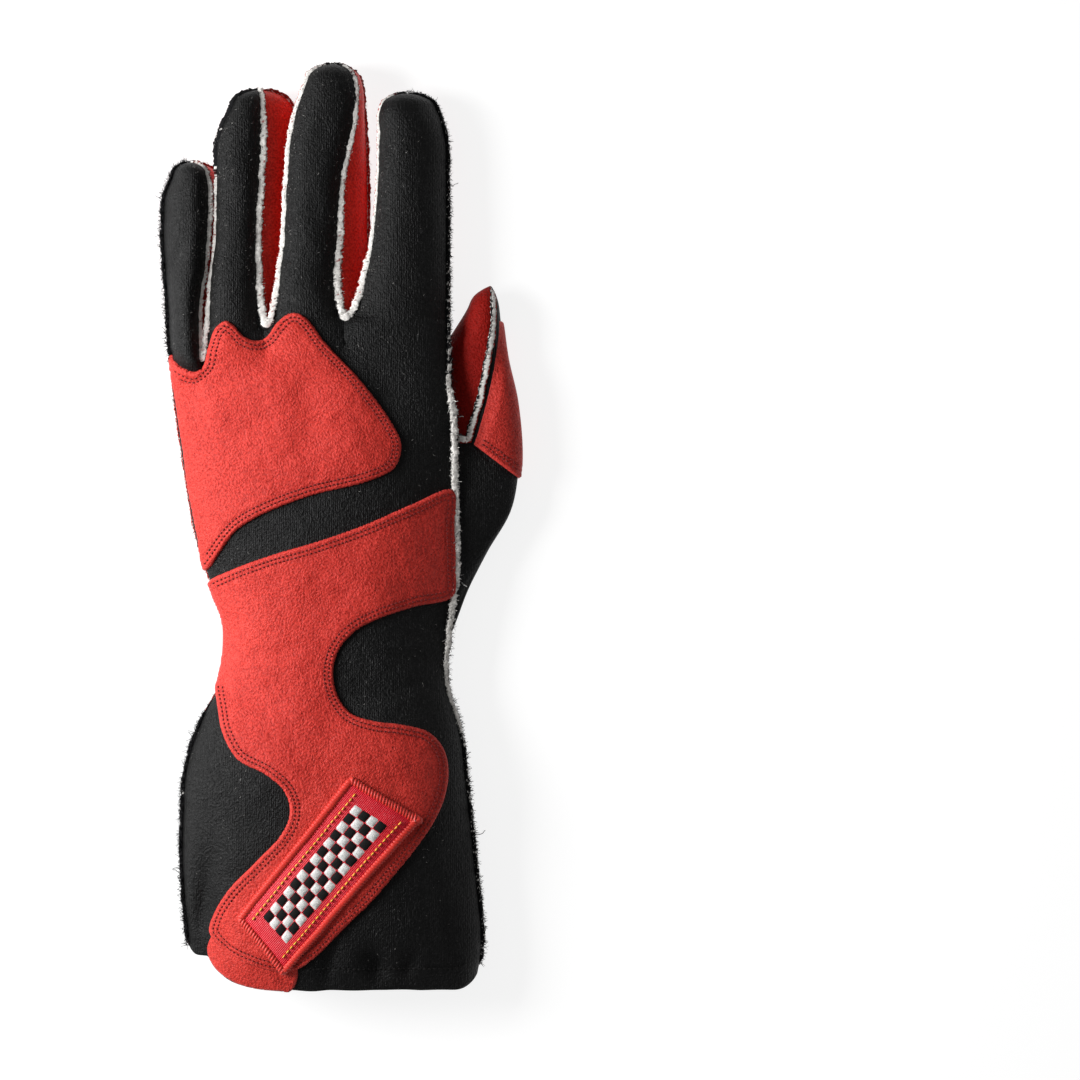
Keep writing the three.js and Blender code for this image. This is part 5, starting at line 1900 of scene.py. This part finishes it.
def tip_turn(path: np.ndarray, finger: np.ndarray) -> np.ndarray:
    """Outward directions of a seam that runs up a finger's side and round its tip.

    Args:
        path: the seam's points.
        finger: the finger's grid.

    Returns:
        A direction for each point.
    """
    middle = finger[:, finger.shape[1] // 2]
    way = path - middle[-len(path):]
    way[:, 1] += smoothstep(0.75, 1, np.linspace(0, 1, len(path))) * 6
    way[-1] = (0, 1, 0)
    out = unit(way * np.array((1, 1, 0)))
    out[:, 2] = 0.25
    return out


@dataclass
class Patch:
    """The woven patch on the cuff, its border, its gold line and a plain chequered band.

    Attributes:
        skin: what it lies on.
        finishes: the glove's materials.
        corners: its corners in plan, the upper end of its left side first.
        height: height of its face over the skin.
        border: thickness of the border.
        band: where the chequered band starts along and across the patch.
        band_size: its length and width, as shares of the patch's.
        squares: number of squares along and across it.
    """

    skin: Skin
    finishes: Finishes
    corners: tuple = ((4.1, -90.4), (28.0, -105.1), (-20.0, -160.0), (-35.4, -140.4))
    height: float = 2.6
    border: float = 1.5
    band: tuple = (0.11, 0.25)
    band_size: tuple = (0.78, 0.5)
    squares: tuple = (14, 4)

    def at(self, u: np.ndarray, v: np.ndarray) -> np.ndarray:
        """Places on the patch in plan.

        Args:
            u: shares of its length, from the upper end down.
            v: shares of its width, from the left side across.

        Returns:
            X and Y of each place.
        """
        a, b, c, d = (np.array(p) for p in self.corners)
        u, v = np.asarray(u, float)[:, None], np.asarray(v, float)[:, None]
        return lerp(lerp(a, b, v), lerp(d, c, v), u)

    def build(self) -> None:
        """Builds the face, the border, the gold lines and the chequered band."""
        f = self.finishes
        u, v = np.meshgrid(np.linspace(0, 1, 90), np.linspace(0, 1, 36), indexing="ij")
        plan = self.at(u.ravel(), v.ravel())
        length, width = 68, 26
        edge = np.minimum(np.minimum(u, 1 - u) * length, np.minimum(v, 1 - v) * width).ravel()
        height = self.height - 0.5 * np.exp(-(edge / 2.2) ** 2)
        quads = grid_quads(u.shape)[:, (0, 3, 2, 1)]
        face = link("patch_face", self.skin.lay(plan, height), quads, [f.satin], "red_satin",
                    ("patch",))
        self.rope()
        lines = [self.at(np.linspace(0.045, 0.955, 60), np.full(60, v)) for v in (0.165, 0.835)]
        stitches("patch_gold_line", self.skin, lines, f.gold_thread, self.height + 0.2, 1.5, 2.0,
                 0.55, "red_satin")
        self.chequers()

    def rope(self) -> None:
        """Builds the overlocked border as a thick thread-wound rope."""
        inset, spacing, turn, around = 0.022, 0.2, 1.15, 12
        squash, lean, knot_size, knot_reach = 0.75, 0.35, 0.8, 2.2
        outline = np.array([(0, 0), (0, 1), (1, 1), (1, 0)], float)
        outline = 0.5 + (outline - 0.5) * np.array((1 - inset, 1 - 2 * inset))
        dense, _ = even_out(self.at(outline[:, 0], outline[:, 1]), np.ones(4, bool), spacing)
        thread = np.abs(np.sin(math.pi * (np.arange(len(dense)) * spacing) / turn))
        centre = self.skin.lay(dense, np.full(len(dense), self.height - 0.55))
        along = unit(np.roll(centre, -1, 0) - np.roll(centre, 1, 0))
        side = unit(np.cross(along, np.array((0, 0, 1.0))))
        up = np.cross(side, along)
        slant = along * lean
        away = np.linalg.norm(dense - np.array(self.corners[1]), axis=1)
        knot = 1 + knot_size * np.exp(-(away / knot_reach) ** 2)
        reach = (self.border * (0.72 + 0.3 * thread) * knot)[:, None]
        points = np.stack([
            centre + (side * math.cos(angle) + up * squash * math.sin(angle)
                      + slant * math.cos(angle)) * reach
            for angle in np.arange(around) / around * 2 * math.pi], axis=1)
        index = np.arange(len(dense) * around).reshape(-1, around)
        ahead = np.roll(index, -1, axis=0)
        faces = np.stack([index, ahead, np.roll(ahead, -1, 1), np.roll(index, -1, 1)],
                         axis=-1).reshape(-1, 4)
        link("patch_border", points.reshape(-1, 3), faces, [self.finishes.bright_thread],
             "red_satin")

    def chequers(self) -> None:
        """Builds the raised squares of the plain chequered band, two colours of satin stitch."""
        f = self.finishes
        (u0, v0), (length, width), (columns, rows) = self.band, self.band_size, self.squares
        u, v = np.meshgrid(np.linspace(0.02, 0.98, 9), np.linspace(0.03, 0.97, 7), indexing="ij")
        rib = 0.1 * np.abs(np.sin(v * math.pi * 5))
        dome = 0.34 * np.minimum(1, 5 * np.minimum(np.minimum(u, 1 - u), np.minimum(v, 1 - v)))
        height = (self.height - 0.05 + dome + rib * (dome > 0.1)).ravel()
        quads = grid_quads(u.shape)[:, (0, 3, 2, 1)]
        for kind, name, finish in ((0, "patch_squares_light", f.white_thread),
                                   (1, "patch_squares_dark", f.black_thread)):
            cells = [(i, j) for i in range(columns) for j in range(rows) if (i + j) % 2 == kind]
            points = []
            for i, j in cells:
                down = u0 + i * length / columns + u * length / columns
                across = v0 + j * width / rows + v * width / rows
                points.append(self.skin.lay(self.at(down.ravel(), across.ravel()), height))
            faces = np.concatenate([quads + k * u.size for k in range(len(cells))])
            link(name, np.concatenate(points), faces, [finish], "red_satin")


@dataclass
class Glove:
    """The whole glove: its panels, overlays, seams, stitches and patch.

    Attributes:
        finishes: its materials.
        shape: its middle surfaces.
        hem: width of the band folded in at the hem.
        gathers: Y, reach and strength of the elastic rows at the wrist.
        gather_depth: depth of their gathers.
        thumb_wave: depth of the unevenness of the thumb.
    """

    finishes: Finishes
    shape: HandShape = field(default_factory=HandShape)
    hem: float = 13.0
    gathers: tuple = ((-38, 7.5, 1.0), (-56, 12, 0.7))
    gather_depth: float = 1.25
    thumb_wave: float = 0.25

    def build(self) -> None:
        """Builds every piece in order, from the panels outwards."""
        self.panels()
        self.overlays()
        self.seams()

    def panels(self) -> None:
        """Builds the back, the palm, the cuff, the thumb and the finger gussets."""
        f, per, root_rows, tip_rows = self.finishes, self.shape.per_finger, 22, 12
        hands, back_fingers = self.shape.build(Side.BACK)
        hand = join_columns(hands)
        share = np.broadcast_to(arch(hand.shape[1], 0.4), hand.shape[:2])
        even = soften(hand, 2 * self.shape.knuckle_steps)
        self.back_hand = press(even, BACK_FOLDS, 1, share)
        self.back_fingers = []
        for finger, grid in enumerate(back_fingers):
            part = slice(finger * per, (finger + 1) * per + 1)
            rows = np.arange(len(grid))
            rise = smoothstep(0, root_rows, rows)[:, None]
            fade = smoothstep(0, tip_rows, len(grid) - 1 - rows)[:, None]
            grid = grid + (even[-1, part] - hand[-1, part]) * (1 - rise)[..., None]
            strip = arch(per + 1, 0.5) * fade
            pressed = press(grid, BACK_FOLDS, 1, lerp(share[-1, part], strip, rise))
            pressed[0] = self.back_hand[-1, part]
            self.back_fingers.append(pressed)
        self.back = Panel(
            "back", ("back_panel", "cuff_back"), [self.back_hand, *self.back_fingers], False,
            f.knit, f.lining, "black_knit", (0.12, 0.335), 0.0305, hem=self.hem)
        self.back.build()
        self.palm_panels()
        self.thumb_panels()
        self.gussets()

    def palm_panels(self) -> None:
        """Builds the suede palm and the knitted palm side of the cuff."""
        f, per = self.finishes, self.shape.per_finger
        hands, self.palm_fingers = self.shape.build(Side.PALM)
        three, index = join_columns(hands[:3]), hands[3]
        web_rows = len(index)
        three[-web_rows:, -1] = index[:, 0] = (three[-web_rows:, -1] + index[:, 0]) / 2
        three = self.gather(press(three, PALM_FOLDS, -1, self.fade(three)))
        index = press(index, PALM_FOLDS, -1, 0 * index[..., 0])
        index[:, 0] = three[-web_rows:, -1]
        whole = np.concatenate([three[-1], index[-1, 1:]])
        for finger, grid in enumerate(self.palm_fingers):
            grid[0] = whole[finger * per:(finger + 1) * per + 1]
        self.palm = Panel("palm", ("palm_panel",), [three, index, *self.palm_fingers], True,
                          f.deep_red, f.lining, "red_suede", (0.12, 0.21), 0.0165)
        self.palm.build()
        column = np.unique(np.concatenate([self.shape.columns(i) for i in range(FINGERS)]).round(6))
        cuff = refine(self.shape.rows(Side.PALM, range(0, WRIST + 1), column),
                      self.shape.section_steps(0, WRIST))
        cuff = self.gather(press(cuff, PALM_FOLDS, -1, self.fade(cuff)))
        cuff[-1, :3 * per + 1] = three[0]
        self.cuff = Panel("cuff_palm_side", ("cuff_palm",), [cuff], True, f.knit, f.lining,
                          "black_knit", (0.115, 0.13), 0.0145, "gathered", hem=self.hem)
        self.cuff.build()

    def fade(self, grid: np.ndarray) -> np.ndarray:
        """Share of the folds that reaches each point: none at the seams."""
        return np.broadcast_to(arch(grid.shape[1], 0.5), grid.shape[:2])

    def gather(self, grid: np.ndarray) -> np.ndarray:
        """The grid with the elastic's gathers at the wrist.

        Args:
            grid: points of the palm side.

        Returns:
            The gathered grid.
        """
        made = grid.copy()
        x, y = grid[..., 0], grid[..., 1]
        near = sum(strength * np.exp(-((y - at) / reach) ** 2)
                   for at, reach, strength in self.gathers)
        wave = np.sin(2 * math.pi * (x + 1.5 * np.sin(x / 9)) / 7.6) + 0.4 * np.sin(x / 2.3)
        depth = self.gather_depth * near * wave * self.fade(grid)
        made[..., 2] = np.maximum(made[..., 2] - depth, REST_Z)
        return made

    def thumb_panels(self) -> None:
        """Builds the knitted back and the suede palm side of the thumb."""
        f, shape = self.finishes, self.shape
        ball = np.linspace(3, 4, 5)
        radial = shape.rows(Side.BACK, range(WRIST, THUMB_SEAM + 1), np.array([4.0]))[:, 0]
        wrist = shape.rows(Side.PALM, range(WRIST, WRIST + 1), ball)[0]
        base = np.concatenate([radial[::-1], wrist[:-1][::-1]])
        back = thumb_grid(base, [np.linspace(*ring[3:], len(base)) for ring in THUMB_RINGS])
        steps, corner = KEYSTONE_END - WRIST, WEB - KEYSTONE_END
        keystone = shape.rows(Side.PALM, range(WRIST, WEB), np.array([3.0]))[:, 0]
        back[1:steps + 1, -1] = keystone[1:steps + 1]
        web = shape.rows(Side.PALM, range(WEB, WEB + 1), ball)[0]
        palm_base = np.concatenate([keystone[steps:], web, radial[-1:], back[1:steps + 1, 0]])
        last = len(palm_base) - 1
        angles = [np.interp(np.arange(last + 1), (0, corner, corner + 4, last),
                            (lower, WEB_CORNER, min(WEB_JOINT, upper + 360 - WEB_CLEARANCE),
                             upper + 360)) for *_, upper, lower in THUMB_RINGS]
        palm = np.delete(thumb_grid(palm_base, angles), range(1, steps + 1), axis=0)
        palm[1:, 0], palm[1:, -1] = back[steps + 1:, -1], back[steps + 1:, 0]
        self.thumb_back_grid = refine_columns(
            refine(back, THUMB_STEPS), [6] * (back.shape[1] - 1))
        self.thumb_palm_grid = refine_columns(
            refine(palm, (9,) + THUMB_STEPS[steps + 1:]), [PALM_BASE_STEPS] * (palm.shape[1] - 1))
        for made in (self.thumb_back_grid, self.thumb_palm_grid):
            wave = self.thumb_wave * crumple(made[..., 0], made[..., 1], 9, 14)
            made[..., 2] = np.maximum(made[..., 2] + wave * arch(made.shape[1], 0.5), REST_Z)
        self.thumb_back = Panel("thumb_back_cloth", ("thumb_back",), [self.thumb_back_grid], False,
                                f.knit, f.lining, "black_knit", (0.06, 0.13), 0.0046)
        self.thumb_back.build()
        # The thumb's palm side uses the darker suede copy, painted shade.
        Panel("thumb_palm_suede", ("thumb_palm",), [self.thumb_palm_grid], False, f.thumb_red_shaded,
              f.lining, "red_suede", (0.055, 0.12), 0.0036).build()

    def gussets(self) -> None:
        """Builds the red strips between the fingers."""
        f = self.finishes
        width, lengths, bulge, full_at = 0.0155, (0.175, 0.19, 0.19), 1.0, 8
        t = np.linspace(0, 1, 11)[None, :, None]
        self.gusset_grids = []
        for finger, (name, length) in enumerate(zip(GAPS, lengths)):
            sides = []
            for edge, outward, at in ((-1, 1, finger), (0, -1, finger + 1)):
                top, low = self.back_fingers[at][:, edge], self.palm_fingers[at][:, edge]
                wall = lerp(top[:, None], low[:, None], t)
                near = np.minimum(1, np.linalg.norm(top - low, axis=1) / full_at)
                wall[..., 0] += outward * bulge * near[:, None] * np.sin(t[..., 0] * math.pi)
                sides.append(wall)
            sides[1][0] = sides[0][0]
            grid = np.concatenate([sides[0][::-1], sides[1][1:]])
            self.gusset_grids.append(grid)
            # The gussets use the brighter suede copy, painted light.
            Panel("gusset_" + name, ("fourchette_" + name,), [grid], True, f.gusset_red_lit, f.lining,
                  "red_suede", (width, length), width * length).build()

    def overlays(self) -> None:
        """Builds the suede layers over the back, the palm and the thumb, and their stitches."""
        f = self.finishes
        back, palm = self.back.skin(), self.palm.skin()
        self.back_skin = back
        upper = Overlay("knuckle_overlay", "upper_overlay", back, UPPER_OVERLAY, f.red, "red_suede",
                        (0.085, 0.092), 0.0045, seed=21)
        lower = Overlay("wrist_overlay", "lower_overlay", back, LOWER_OVERLAY, f.red, "red_suede",
                        (0.1, 0.185), 0.0095, seed=31)
        grip = Overlay("palm_grip", "palm_overlay", palm, PALM_OVERLAY, f.black, "black_suede",
                       (0.1, 0.122), 0.0088, thickness=1.5, rows=(2.2,), groove=0.3, seed=41,
                       quilt=GRIP_QUILT)
        fold = Overlay("hem_fold", "lower_overlay", back, HEM_FOLD, f.red, "red_suede",
                       (0.036, 0.018), 0.0006, thickness=0.95, rows=(), seed=37, skirt=2.2)
        for piece in (upper, lower, grip, fold):
            piece.build()
        stitches("knuckle_stitches", back, upper.stitch_lines(), f.red_thread, 1.36)
        stitches("wrist_stitches", back, lower.stitch_lines(), f.red_thread, 1.36)
        stitches("grip_stitches", palm, grip.stitch_lines(), f.black_thread, 1.25,
                 slot="black_suede")
        self.cuff_stitches(back, palm)
        self.thumb_overlay()
        Patch(back, f).build()

    def cuff_stitches(self, back: Skin, palm: Skin) -> None:
        """Sews the gathers at the wrist and the hem.

        Args:
            back: the back's outer face.
            palm: the palm's outer face.
        """
        f, cuff = self.finishes, self.cuff.skin()
        stitches("gather_stitches_palm", palm, [zigzag(-37, 8, -34.5, 6.5, 6.0)], f.red_thread,
                 0.1, 1.3, 1.6, 0.5)
        stitches("gather_stitches_cuff", cuff, [zigzag(-37, 34, -50, 6.0, 6.0)], f.grey_thread,
                 0.1, 1.3, 1.6, 0.5, "black_knit")
        x = np.linspace(-50, 44, 120)
        lines = [np.stack([x, hem_line(x) + up + 0.3 * wobble(x, 5, 60, 2)], axis=-1)
                 for up in (13.2, 14.9)]
        stitches("hem_stitches_palm", cuff, lines, f.grey_thread, 0.08, 1.1, 1.8, 0.45,
                 "black_knit")
        x = np.linspace(-12.5, 45, 80)
        line = np.stack([x, hem_line(x) + 7.6 + 0.3 * wobble(x, 6, 50, 2)], axis=-1)
        stitches("hem_stitches_back", back, [line], f.black_thread, 0.08, 1.1, 1.8, 0.45,
                 "black_knit")

    def thumb_overlay(self) -> None:
        """Builds the suede laid over the end of the thumb's back."""
        f, grid, rows, columns = self.finishes, self.thumb_back_grid, 92, 76
        ends = np.cumsum((0,) + THUMB_STEPS)
        at = np.linspace(ends[5] - 1, ends[8] - 0.5, rows)
        share = np.linspace(0, 1, len(at))
        rings = (at - ends[5]) / (ends[8] - ends[5]) * 3
        upper = np.interp(rings, range(4), [ring[3] for ring in THUMB_RINGS])
        lower = np.interp(rings, range(4), [ring[4] for ring in THUMB_RINGS])
        near, far = (size * np.exp(-((share - middle) / reach) ** 2)
                     for size, middle, reach in THUMB_LOBES)
        right = (180 + (near + 6 + far) - upper) / (lower - upper) * (grid.shape[1] - 1)
        whole = sample(grid, at[:, None], np.arange(grid.shape[1])[None])
        length = run_over(whole, 1)
        left = np.array([np.interp(THUMB_MARGIN, row, np.arange(len(row))) for row in length])
        u = np.linspace(0, 1, columns)
        column = lerp(left[:, None], np.maximum(right, left + 1)[:, None], u[None])
        part = sample(grid, at[:, None], column)
        normal = unit(sample(grid_normals(grid, False), at[:, None], column))
        across, along = run_over(part, 1), run_over(part, 0)
        free = np.minimum(along, across[:, -1:] - across)
        gap = np.minimum(np.minimum(free, across), along[-1:] - along)
        edge = np.clip(gap / EDGE_ROLL, 0, 1)
        # Groove depth, which the material also turns into painted shade.
        groove = sum(np.exp(-((along - row) / 0.4) ** 2) for row in STITCH_ROWS)
        sewn = smoothstep(0, 5, across)
        height = 0.8 + 1.35 * (0.35 + 0.65 * np.sqrt(1 - (1 - edge) ** 2)) * sewn
        top = part + normal * (height - 0.2 * groove * sewn)[..., None]
        top[..., 2] = np.maximum(top[..., 2], 0.1)
        low = part + normal * 0.4
        count = gap.size
        quads = grid_quads(gap.shape).tolist()
        faces = quads + [[b, a, a + count, b + count] for a, b in rim_edges(quads)]
        # The rim values give the paler cut rim, partly a painted highlight along the rolled edge.
        piece = link("thumb_tip_overlay", np.concatenate([top.reshape(-1, 3), low.reshape(-1, 3)]),
                     faces, [f.red], "red_suede", ("thumb_overlay",),
                     rim=np.concatenate([np.exp(-(gap / 0.6) ** 2).ravel(), np.ones(count)]),
                     groove=np.concatenate([groove.ravel(), np.zeros(count)]))
        lines = [np.array([part[np.searchsorted(along[:, k], row), k, :2]
                           for k in range(3, 52, 2)]) for row in STITCH_ROWS]
        stitches("thumb_stitches", self.thumb_back.skin(), lines, f.red_thread, 1.15)

    def seams(self) -> None:
        """Builds the raw edges that stand out along the outside seams."""
        for seam in self.hand_seams() + self.finger_seams() + self.thumb_seams():
            seam.build(self.finishes.fibre)
        self.lint()
        self.loose_threads()

    def loose_threads(self) -> None:
        """Adds the loose thread ends that hang out of the side seams."""
        f = self.finishes
        dark = [curl((-57.2, -123, 13), 200, 9, 2.2, 3), curl((-58, -125.5, 13), 250, 10, 3.4, 8),
                curl((42.4, 12, 16), 330, 4, 0.8, 4), curl((47.5, -112, 13), 20, 5, 1.0, 6),
                curl((-62.8, 100, 9), 150, 3.5, 0.9, 12), curl((43.5, -82, 13), 350, 3.4, 1.2, 14)]
        pale = [curl((41.8, -18.5, 14.5), 300, 5, 0.7, 5), curl((41, 39, 17), 340, 3, 1.0, 9),
                curl((39.6, 122, 9), 20, 2.6, 0.8, 11)]
        threads("loose_threads_dark", dark, 0.13, f.black_thread, "black_knit")
        threads("loose_threads_pale", pale, 0.12, f.white_thread, "raw_edge")

    def lint(self) -> None:
        """Scatters short pale fibres over the knit, most of them beside the finger seams."""
        rng = np.random.default_rng(7)
        per_seam, spread_count, reach, beside = 90, 1500, 1.5, []
        for finger, grid in enumerate(self.back_fingers):
            for edge, inwards in ((0, 1), (-1, -1)):
                if (finger, edge) in ((0, 0), (3, -1)):
                    continue
                pick = rng.integers(0, len(grid) - 6, per_seam)
                plan = grid[pick, edge, :2].copy()
                plan[:, 0] += inwards * (0.8 + rng.exponential(reach, len(pick)))
                plan[:, 1] += rng.normal(0, 0.8, len(pick))
                beside.append(plan)
        spread = np.stack([rng.uniform(-60, 44, spread_count),
                           rng.uniform(-160, 160, spread_count)], axis=-1)
        clumps = rng.uniform(-1, 1, len(spread)) < 1.1 * crumple(spread[:, 0], spread[:, 1], 77, 30)
        plan = np.concatenate(beside + [spread[clumps]])
        places, normals = self.back_skin.look_up(plan)
        near = (np.linalg.norm(places[:, :2] - plan, axis=1) < 0.01) & (normals[:, 2] > 0.35)
        places, normals = places[near], normals[near]
        count = len(places)
        way = unit(np.cross(normals, rng.normal(0, 1, (count, 3))))
        bend = unit(np.cross(normals, way))
        size = rng.uniform(0.3, 0.85, (count, 1))
        thick = rng.uniform(0.045, 0.085, (count, 1))
        steps = (0, 0.35, 0.7, 1)
        points, faces = blades(
            [places + normals * (0.12 + 0.25 * t) + way * size * t + bend * size * 0.7 * t * t
             for t in steps], [bend * thick * (1 - 0.6 * t) for t in steps])
        tint = np.array(WHITE) * rng.uniform(0.04, 0.36, (count, 1))
        link("knit_lint", points, faces, [self.finishes.fibre], "raw_edge",
             tint=np.repeat(tint, 8, axis=0))

    def hand_seams(self) -> list:
        """The two long seams along the glove's sides.

        Returns:
            The seams on the back, each followed by the one that shows below it.
        """
        made = []
        for name, edge, over, under, look in LONG_SEAMS:
            finger = self.back_fingers[edge]
            path = np.concatenate([self.back_hand[:, edge], finger[1:, edge]])
            outward = np.tile((1.0 if edge else -1.0, 0, 0.25), (len(path), 1))
            tip = len(self.back_hand)
            outward[tip:] = tip_turn(path[tip:], finger)
            y = path[:, 1].copy()
            y[tip:] = np.maximum(y[tip:], 60)
            places, *shares = np.array(over).T
            pale, size, outward[:, 2] = (np.interp(y, places, row) for row in shares)
            made.append(RawSeam(name + "_seam", path, unit(outward), ("seam_edge_" + name,),
                                size=size, pale=pale, last=BLACK, fibres=18, seed=60 + edge,
                                **look))
            places, *shares = np.array(under).T
            pale, size = (np.interp(y, places, row) for row in shares)
            lower = outward * np.array((1, 1, 0)) + np.array((0, 0, -0.9))
            made.append(RawSeam(name + "_under_seam", path, unit(lower), width=1.5, height=1.0,
                                lift=0.4, size=size, pale=pale, first=RED, last=BLACK,
                                band=(0.1, 0.95), dark_fibres=0.3, fibres=5, fibre_length=0.7,
                                seed=64 + edge))
        return made

    def finger_seams(self) -> list:
        """The seams down both sides of each gap between two fingers.

        Returns:
            For each gap the seam on the back and the one on the palm.
        """
        made = []
        for gap, (name, part) in enumerate(zip(GAPS, ("ring", "middle", "index"))):
            path = self.gap_path(self.back_fingers, gap)
            normals = grid_normals(self.gusset_grids[gap], True)
            up = np.tile((0, 0, 1.0), (len(path), 1))
            pale, size = gap_shares(path, len(self.back_fingers[gap]), GAP_SEAMS[gap])
            made.append(RawSeam("gap_seam_" + name, path, unit(normals[:, 0] * 0.1 + up),
                                ("seam_edge_" + name,) if gap else (), width=3.3, height=2.3,
                                lift=0.5, size=size, pale=pale, dark_fibres=0.3, fibres=12,
                                rough=0.7, seed=70 + gap))
            made.append(RawSeam("palm_gap_seam_" + name, self.gap_path(self.palm_fingers, gap),
                                unit(normals[:, -1] * 0.9 - up * 0.7),
                                ("palm_seam_edge_" + part,), width=2.2, height=1.4, first=RED,
                                band=(0.12, 0.9), dark_fibres=0.08, fibres=5, seed=80 + gap))
        return made

    def gap_path(self, fingers: list, gap: int) -> np.ndarray:
        """The line down one finger's side and up the next one's."""
        return np.concatenate([fingers[gap][::-1, -1], fingers[gap + 1][1:, 0]])

    def thumb_seams(self) -> list:
        """The seams of the thumb and of its insert.

        Returns:
            The seam on the thumb's back, the one on its palm side and that of the insert.
        """
        grid, normals = self.thumb_back_grid, grid_normals(self.thumb_back_grid, False)
        start = sum(THUMB_STEPS[:2])
        path, out = grid[start:-2, 0], normals[start:-2, 0] + np.array((0, 0, 0.7))
        size = np.interp(np.linspace(0, 1, len(path)), (0, 0.3, 0.8, 1), (1.05, 1, 0.8, 0.6))
        made = [RawSeam("thumb_seam", path, unit(out), ("thumb_seam_edge",), width=2.8, size=size,
                        first=RED, last=BLACK, band=(0.14, 0.74), dark_fibres=0.1, fibres=3,
                        fibre_length=0.6, rough=0.4, seed=91)]
        path, out = grid[:-3, -1], normals[:-3, -1] + np.array((0.2, 0, -0.6))
        size = np.interp(np.linspace(0, 1, len(path)), (0, 0.3, 0.6, 1), (1.1, 1.25, 0.9, 0.6))
        made.append(RawSeam("thumb_palm_seam", path, unit(out), width=3.0, size=size,
                            band=(0.08, 0.92), dark_fibres=0.2, fibres=5, seed=93))
        corner = PALM_BASE_STEPS * (WEB - KEYSTONE_END)
        path = self.thumb_palm_grid[0, :corner]
        made.append(RawSeam("keystone_seam", path, np.tile((0, 0, -1.0), (len(path), 1)),
                            ("keystone_seam_edge",), width=2.9, height=1.3, first=RED,
                            band=(0.12, 0.9), dark_fibres=0.05, fibres=4, rough=0.6, seed=95))
        return made


@dataclass(frozen=True)
class Studio:
    """Camera, floor and lights.

    Attributes:
        aim: the point of the floor under the camera, in metres.
        height: the camera's height.
        lens: its focal length in millimetres.
        key: place of the soft light, in metres.
        key_size: its width, in metres.
        key_power: its power, in watts.
        sky: strength of the light from all sides.
        floor_glow: the floor's own light, which keeps it pale.
    """

    aim: tuple = (0.0716, -0.0054)
    height: float = 2.4
    lens: float = 221.2
    key: tuple = (-0.55, 0.09, 0.33)
    key_size: float = 0.36
    key_power: float = 9.2
    sky: float = 0.23
    floor_glow: float = 0.84

    def build(self) -> None:
        """Sets up the camera, the floor and the lights."""
        scene = bpy.context.scene
        camera = bpy.data.cameras.new("camera")
        camera.lens, camera.sensor_width = self.lens, 36
        camera.clip_start, camera.clip_end = 0.01, 20
        eye = bpy.data.objects.new("camera", camera)
        eye.location = (*self.aim, self.height)
        scene.collection.objects.link(eye)
        scene.camera = eye
        scene.view_settings.view_transform = "Standard"
        self.floor()
        self.light()
        world = bpy.data.worlds.new("studio")
        world.use_nodes = True
        sky = world.node_tree.nodes["Background"].inputs
        sky["Color"].default_value, sky["Strength"].default_value = (1, 1, 1, 1), self.sky
        scene.world = world

    def floor(self) -> None:
        """Lays the plain pale floor."""
        mesh = bpy.data.meshes.new("floor")
        reach = 3
        corners = [(x * reach, y * reach, 0) for x, y in ((-1, -1), (1, -1), (1, 1), (-1, 1))]
        mesh.from_pydata(corners, [], [(0, 1, 2, 3)])
        t = Tree("pale_floor")
        t.shader.inputs["Emission Color"].default_value = (1, 1, 1, 1)
        t.shader.inputs["Emission Strength"].default_value = self.floor_glow
        mesh.materials.append(t.finish((0.25, 0.25, 0.25), None, 0.9, specular=0.05))
        floor = bpy.data.objects.new("floor", mesh)
        bpy.context.scene.collection.objects.link(floor)

    def light(self) -> None:
        """Adds the square soft light that faces the glove."""
        lamp = bpy.data.lights.new("key", "AREA")
        lamp.size, lamp.energy = self.key_size, self.key_power
        made = bpy.data.objects.new("key", lamp)
        made.location = self.key
        made.rotation_euler = (-Vector(self.key)).to_track_quat("-Z", "Y").to_euler()
        bpy.context.scene.collection.objects.link(made)


def main() -> None:
    """Builds the studio and the glove."""
    logging.basicConfig(level=logging.INFO, format="%(message)s")
    Studio().build()
    Glove(Finishes()).build()


if __name__ == "__main__":
    main()
